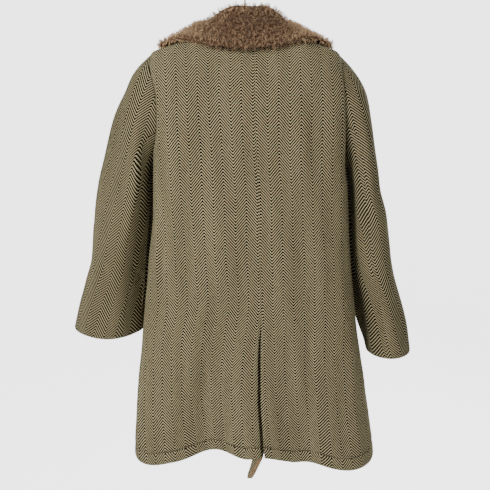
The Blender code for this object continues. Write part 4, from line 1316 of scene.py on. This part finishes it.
def turned(name, profile, steps, material):
    """A closed body of revolution; the profile runs from the axis to the axis."""
    inner = profile[1:-1]
    angles = np.linspace(0, 2 * math.pi, steps, endpoint=False)
    points = [(r * math.cos(a), r * math.sin(a), height) for r, height in inner for a in angles]
    faces = quad_faces(len(inner), steps, closed=True, flip=True)
    top, bottom = len(points), len(points) + 1
    points += [(0, 0, profile[0][1]), (0, 0, profile[-1][1])]
    last = (len(inner) - 1) * steps
    for i in range(steps):
        beside = (i + 1) % steps
        faces += [(top, i, beside), (bottom, last + beside, last + i)]
    return mesh_object(name, points, faces, material)


def make_button(material):
    profile = [(r * BUTTON_RADIUS, BUTTON_SHANK + height * BUTTON_THICK) for r, height in BUTTON_PROFILE]
    item = turned("button_pattern", profile, 44, material)
    for x, y in ((-1, -1), (-1, 1), (1, -1), (1, 1)):
        cutter = turned("drill", DRILL, 16, material)
        cutter.location = (x * HOLE_OUT, y * HOLE_OUT, 0)
        cut = item.modifiers.new("Hole", "BOOLEAN")
        cut.operation = "DIFFERENCE"
        cut.solver = "EXACT"
        cut.object = cutter
    bpy.context.view_layer.update()
    cutters = [cut.object for cut in item.modifiers]
    plain_mesh(item)
    for cutter in cutters:
        bpy.data.objects.remove(cutter)
    item.data.set_sharp_from_angle(angle=math.radians(50))
    return item


# %% Horn, and one button laid on six places
POLISH = {"Roughness": (0.22, 0.42), "Bump": (0.00015, 0.25)}
STREAKS = {"stretch": (1.0, 1.0, 0.25), "core": (0.35, 0.68)}
HORN_COLOURS = ((0.030, 0.014, 0.007), (0.22, 0.115, 0.050))
HORN = grained("turned_horn", (160.0, 5.0, 0.62), *HORN_COLOURS, POLISH, **STREAKS)
THREAD_ARCH = 0.0006
button_pattern = make_button(HORN)
along = np.linspace(-1, 1, 9)
thread_height = BUTTON_SHANK + BUTTON_THICK * 0.68 + THREAD_ARCH * np.cos(np.pi * along / 2)
places = [(column * BUTTON_OUT, z) for column in (-1, 1) for z in BUTTON_ROWS]
for number, (distance, z) in enumerate(places, 1):
    distance = np.array(distance)
    lift = float(over_lift(distance)) + float(body_move("front", distance, np.array(z))) + BUTTON_GAP
    foot, crown = [Vector(surface_point(z, "front", distance, lift + out)) for out in (0, BUTTON_THICK)]
    turn = (crown - foot).to_track_quat("Z", "Y").to_matrix().to_4x4()
    turn.translation = foot
    mesh = button_pattern.data.copy()
    mesh.transform(turn)
    hand_over(place_object(f"button_{number}_turned", mesh), f"button_{number}")
    for index, mirror in enumerate((1, -1), 1):
        strand = np.stack([HOLE_OUT * along, mirror * HOLE_OUT * along, thread_height], -1)
        strand = [turn @ Vector(point) for point in strand]
        stitch_row(f"button_{number}_thread_{index}", strand, 0.0007, 0.0012, 0.0009)
bpy.data.objects.remove(button_pattern)
print("buttons", len(places))

# %% [markdown]
# ## Hanger
#
# The hanger hardly shows: a thin dark wire rises from the collar. A wooden bar carries the shoulders inside
# the coat. Both are tubes along a smooth line, finer than the frame's solids but with the same measures.

# %% Tubes along a line
BAR_RADIUS = 0.0062
BAR_REACH = 0.166
BAR_TOP = -0.1079
BAR_SLOPE = 0.40
BAR_ROUND = 0.04
BAR_STEPS = 90
WIRE_RADIUS = 0.0016
WIRE_GAP = 0.0003
HOOK_RADIUS = 0.021
HOOK_ARC = (-42, 205)
HOOK_BEND = ((0.12, 1.38), (0.30, 1.20), (0.54, 0.94))  # out of and below the hook's centre, in hook radii
END_RADII = (0.35, 0.72, 0.92)


def tube(name, line, radius, sides, material):
    """A closed tube with soft ends, whose frame is carried along the line without twist."""
    line = np.array(line)
    radii = np.full(len(line), radius)
    radii[:3] *= END_RADII
    radii[-3:] *= END_RADII[::-1]
    tangent = unit(np.gradient(line, axis=0))
    across = unit(np.cross(tangent[0], [0.0, 1.0, 0.001]))
    angles = np.linspace(0, 2 * math.pi, sides, endpoint=False)
    rings = []
    for point, ahead, reach in zip(line, tangent, radii):
        across = unit(across - ahead * np.dot(across, ahead))
        round_line = np.outer(np.cos(angles), across) + np.outer(np.sin(angles), np.cross(ahead, across))
        rings.append(point + reach * round_line)
    ends = [tuple(range(sides))[::-1], tuple((len(line) - 1) * sides + i for i in range(sides))]
    faces = quad_faces(len(line), sides, closed=True) + ends
    return mesh_object(name, np.concatenate(rings), faces, material)


# %% The bar and the hook
OILED = {"Roughness": (0.35, 0.6), "Bump": (0.0001, 0.3)}
BEECH = ((0.30, 0.17, 0.08), (0.56, 0.38, 0.21))
beech = grained("hanger_beech", (900.0, 4.0, 0.6), *BEECH, OILED, stretch=(0.08, 1.0, 1.0), fine=(3000.0,))
DRAWN = {"Roughness": (0.25, 0.45), "Metallic": 1.0}
STEEL = ((0.035, 0.035, 0.038), (0.11, 0.11, 0.115))
steel = grained("hook_wire", (2500.0, 3.0, 0.6), *STEEL, DRAWN, stretch=(1.0, 1.0, 0.1))

places = np.linspace(-BAR_REACH, BAR_REACH, BAR_STEPS)
heights = BAR_TOP - BAR_SLOPE * (np.hypot(places, BAR_ROUND) - BAR_ROUND)
bar_line = np.stack([places + COLLAR_CENTRE, np.zeros_like(places), heights], -1)
hand_over(tube("hanger_bar_wood", bar_line, BAR_RADIUS, 24, beech), "hanger_bar")

centre_z = WIRE_RADIUS - HOOK_RADIUS
foot_z = BAR_TOP + BAR_RADIUS + WIRE_GAP
hook_line = [(0, 0, z) for z in np.linspace(foot_z, centre_z - HOOK_RADIUS * 1.5, 14)]
hook_line += [(HOOK_RADIUS * out, 0, centre_z - HOOK_RADIUS * down) for out, down in HOOK_BEND]
for turn in np.radians(np.linspace(*HOOK_ARC, 40)):
    hook_line.append((HOOK_RADIUS * math.cos(turn), 0, centre_z + HOOK_RADIUS * math.sin(turn)))
hand_over(tube("hanger_hook_wire", hook_line, WIRE_RADIUS, 16, steel), "hanger_hook")
print("hook points", len(hook_line))

# %% [markdown]
# ## Studio
#
# The photograph has a plain pale wall and soft light from the upper left. A wide pale bowl stands for floor
# and wall, so that every view of the coat has the same calm ground. It glows for the camera alone, so it
# stays pale without lighting the coat. A large soft lamp on the left gives the modelling, a weaker one on
# the right opens the shadows, one behind lights the front, and the world fills in the rest.

# %% Floor, lights and camera
FLOOR_Z = -2.3
BOWL_RADIUS = 6.0
BOWL_BEND = 1.5
STAGE_GLOW = 3.0
LAMPS = (
    ("key", (-2.2, -2.3, 1.1), (0, 0, -0.5), 1.2, 108),
    ("fill", (1.6, -2.9, -0.1), (0, 0, -0.6), 2.4, 19),
    ("front_key", (2.2, 2.4, 0.9), (0, 0, -0.5), 1.6, 90),
)


def ground_material():
    ground = {"Roughness": 0.9, "Emission Strength": 1.0}
    material = grained("pale_ground", (0.6,), (0.80, 0.80, 0.80), (0.84, 0.84, 0.84), ground)
    wire = Wiring(material.node_tree)
    seen = wire.add("LightPath", out="Is Camera Ray")
    glow = wire.blend(seen, (0, 0, 0), (STAGE_GLOW, STAGE_GLOW, STAGE_GLOW))
    wire.fill(material.node_tree.nodes["Principled BSDF"], {"Emission Color": glow})
    return material


def bowl():
    """A flat floor that rises into a round wall, closed all round and open at the top."""
    corner = np.linspace(0, math.pi / 2, 12)
    radii = [0.0001, 1.5, 3.0, *(BOWL_RADIUS - BOWL_BEND + BOWL_BEND * np.sin(corner)), BOWL_RADIUS]
    heights = [FLOOR_Z, FLOOR_Z, FLOOR_Z, *(FLOOR_Z + BOWL_BEND - BOWL_BEND * np.cos(corner)), FLOOR_Z + 7]
    angles = np.linspace(0, 2 * math.pi, 65)
    points = [(r * math.cos(a), r * math.sin(a), z) for r, z in zip(radii, heights) for a in angles]
    faces = quad_faces(len(radii), len(angles), flip=True)
    return mesh_object("studio_bowl", points, faces, ground_material())


bowl()
for name, place, target, size, power in LAMPS:
    light = bpy.data.lights.new(name, "AREA")
    light.shape = "DISK"
    light.size = size
    light.energy = power
    lamp = place_object(name, light)
    lamp.location = place
    lamp.rotation_euler = (Vector(target) - Vector(place)).to_track_quat("-Z", "Y").to_euler()

world = bpy.data.worlds.new("studio")
world.use_nodes = True
sky = {"Color": (1.0, 1.0, 1.0, 1), "Strength": 0.225}
Wiring(world.node_tree).fill(world.node_tree.nodes["Background"], sky)
bpy.context.scene.world = world

camera_data = bpy.data.cameras.new("camera")
camera_data.lens = 41.143
camera_data.sensor_width = 36.0
camera = place_object("camera", camera_data)
camera.location = (0.0, -1.24727, -0.35197)
camera.rotation_euler = (math.radians(79.76), 0, 0)
bpy.context.scene.camera = camera

# %% [markdown]
# ## The cut of each piece
#
# Each piece of cloth has the size it was cut to, which we measured on its grid: the longest way across and
# along, and the area between them. Here we only go over the pieces and their extras.

for cut in SHEETS.values():
    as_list(cut["extras"])
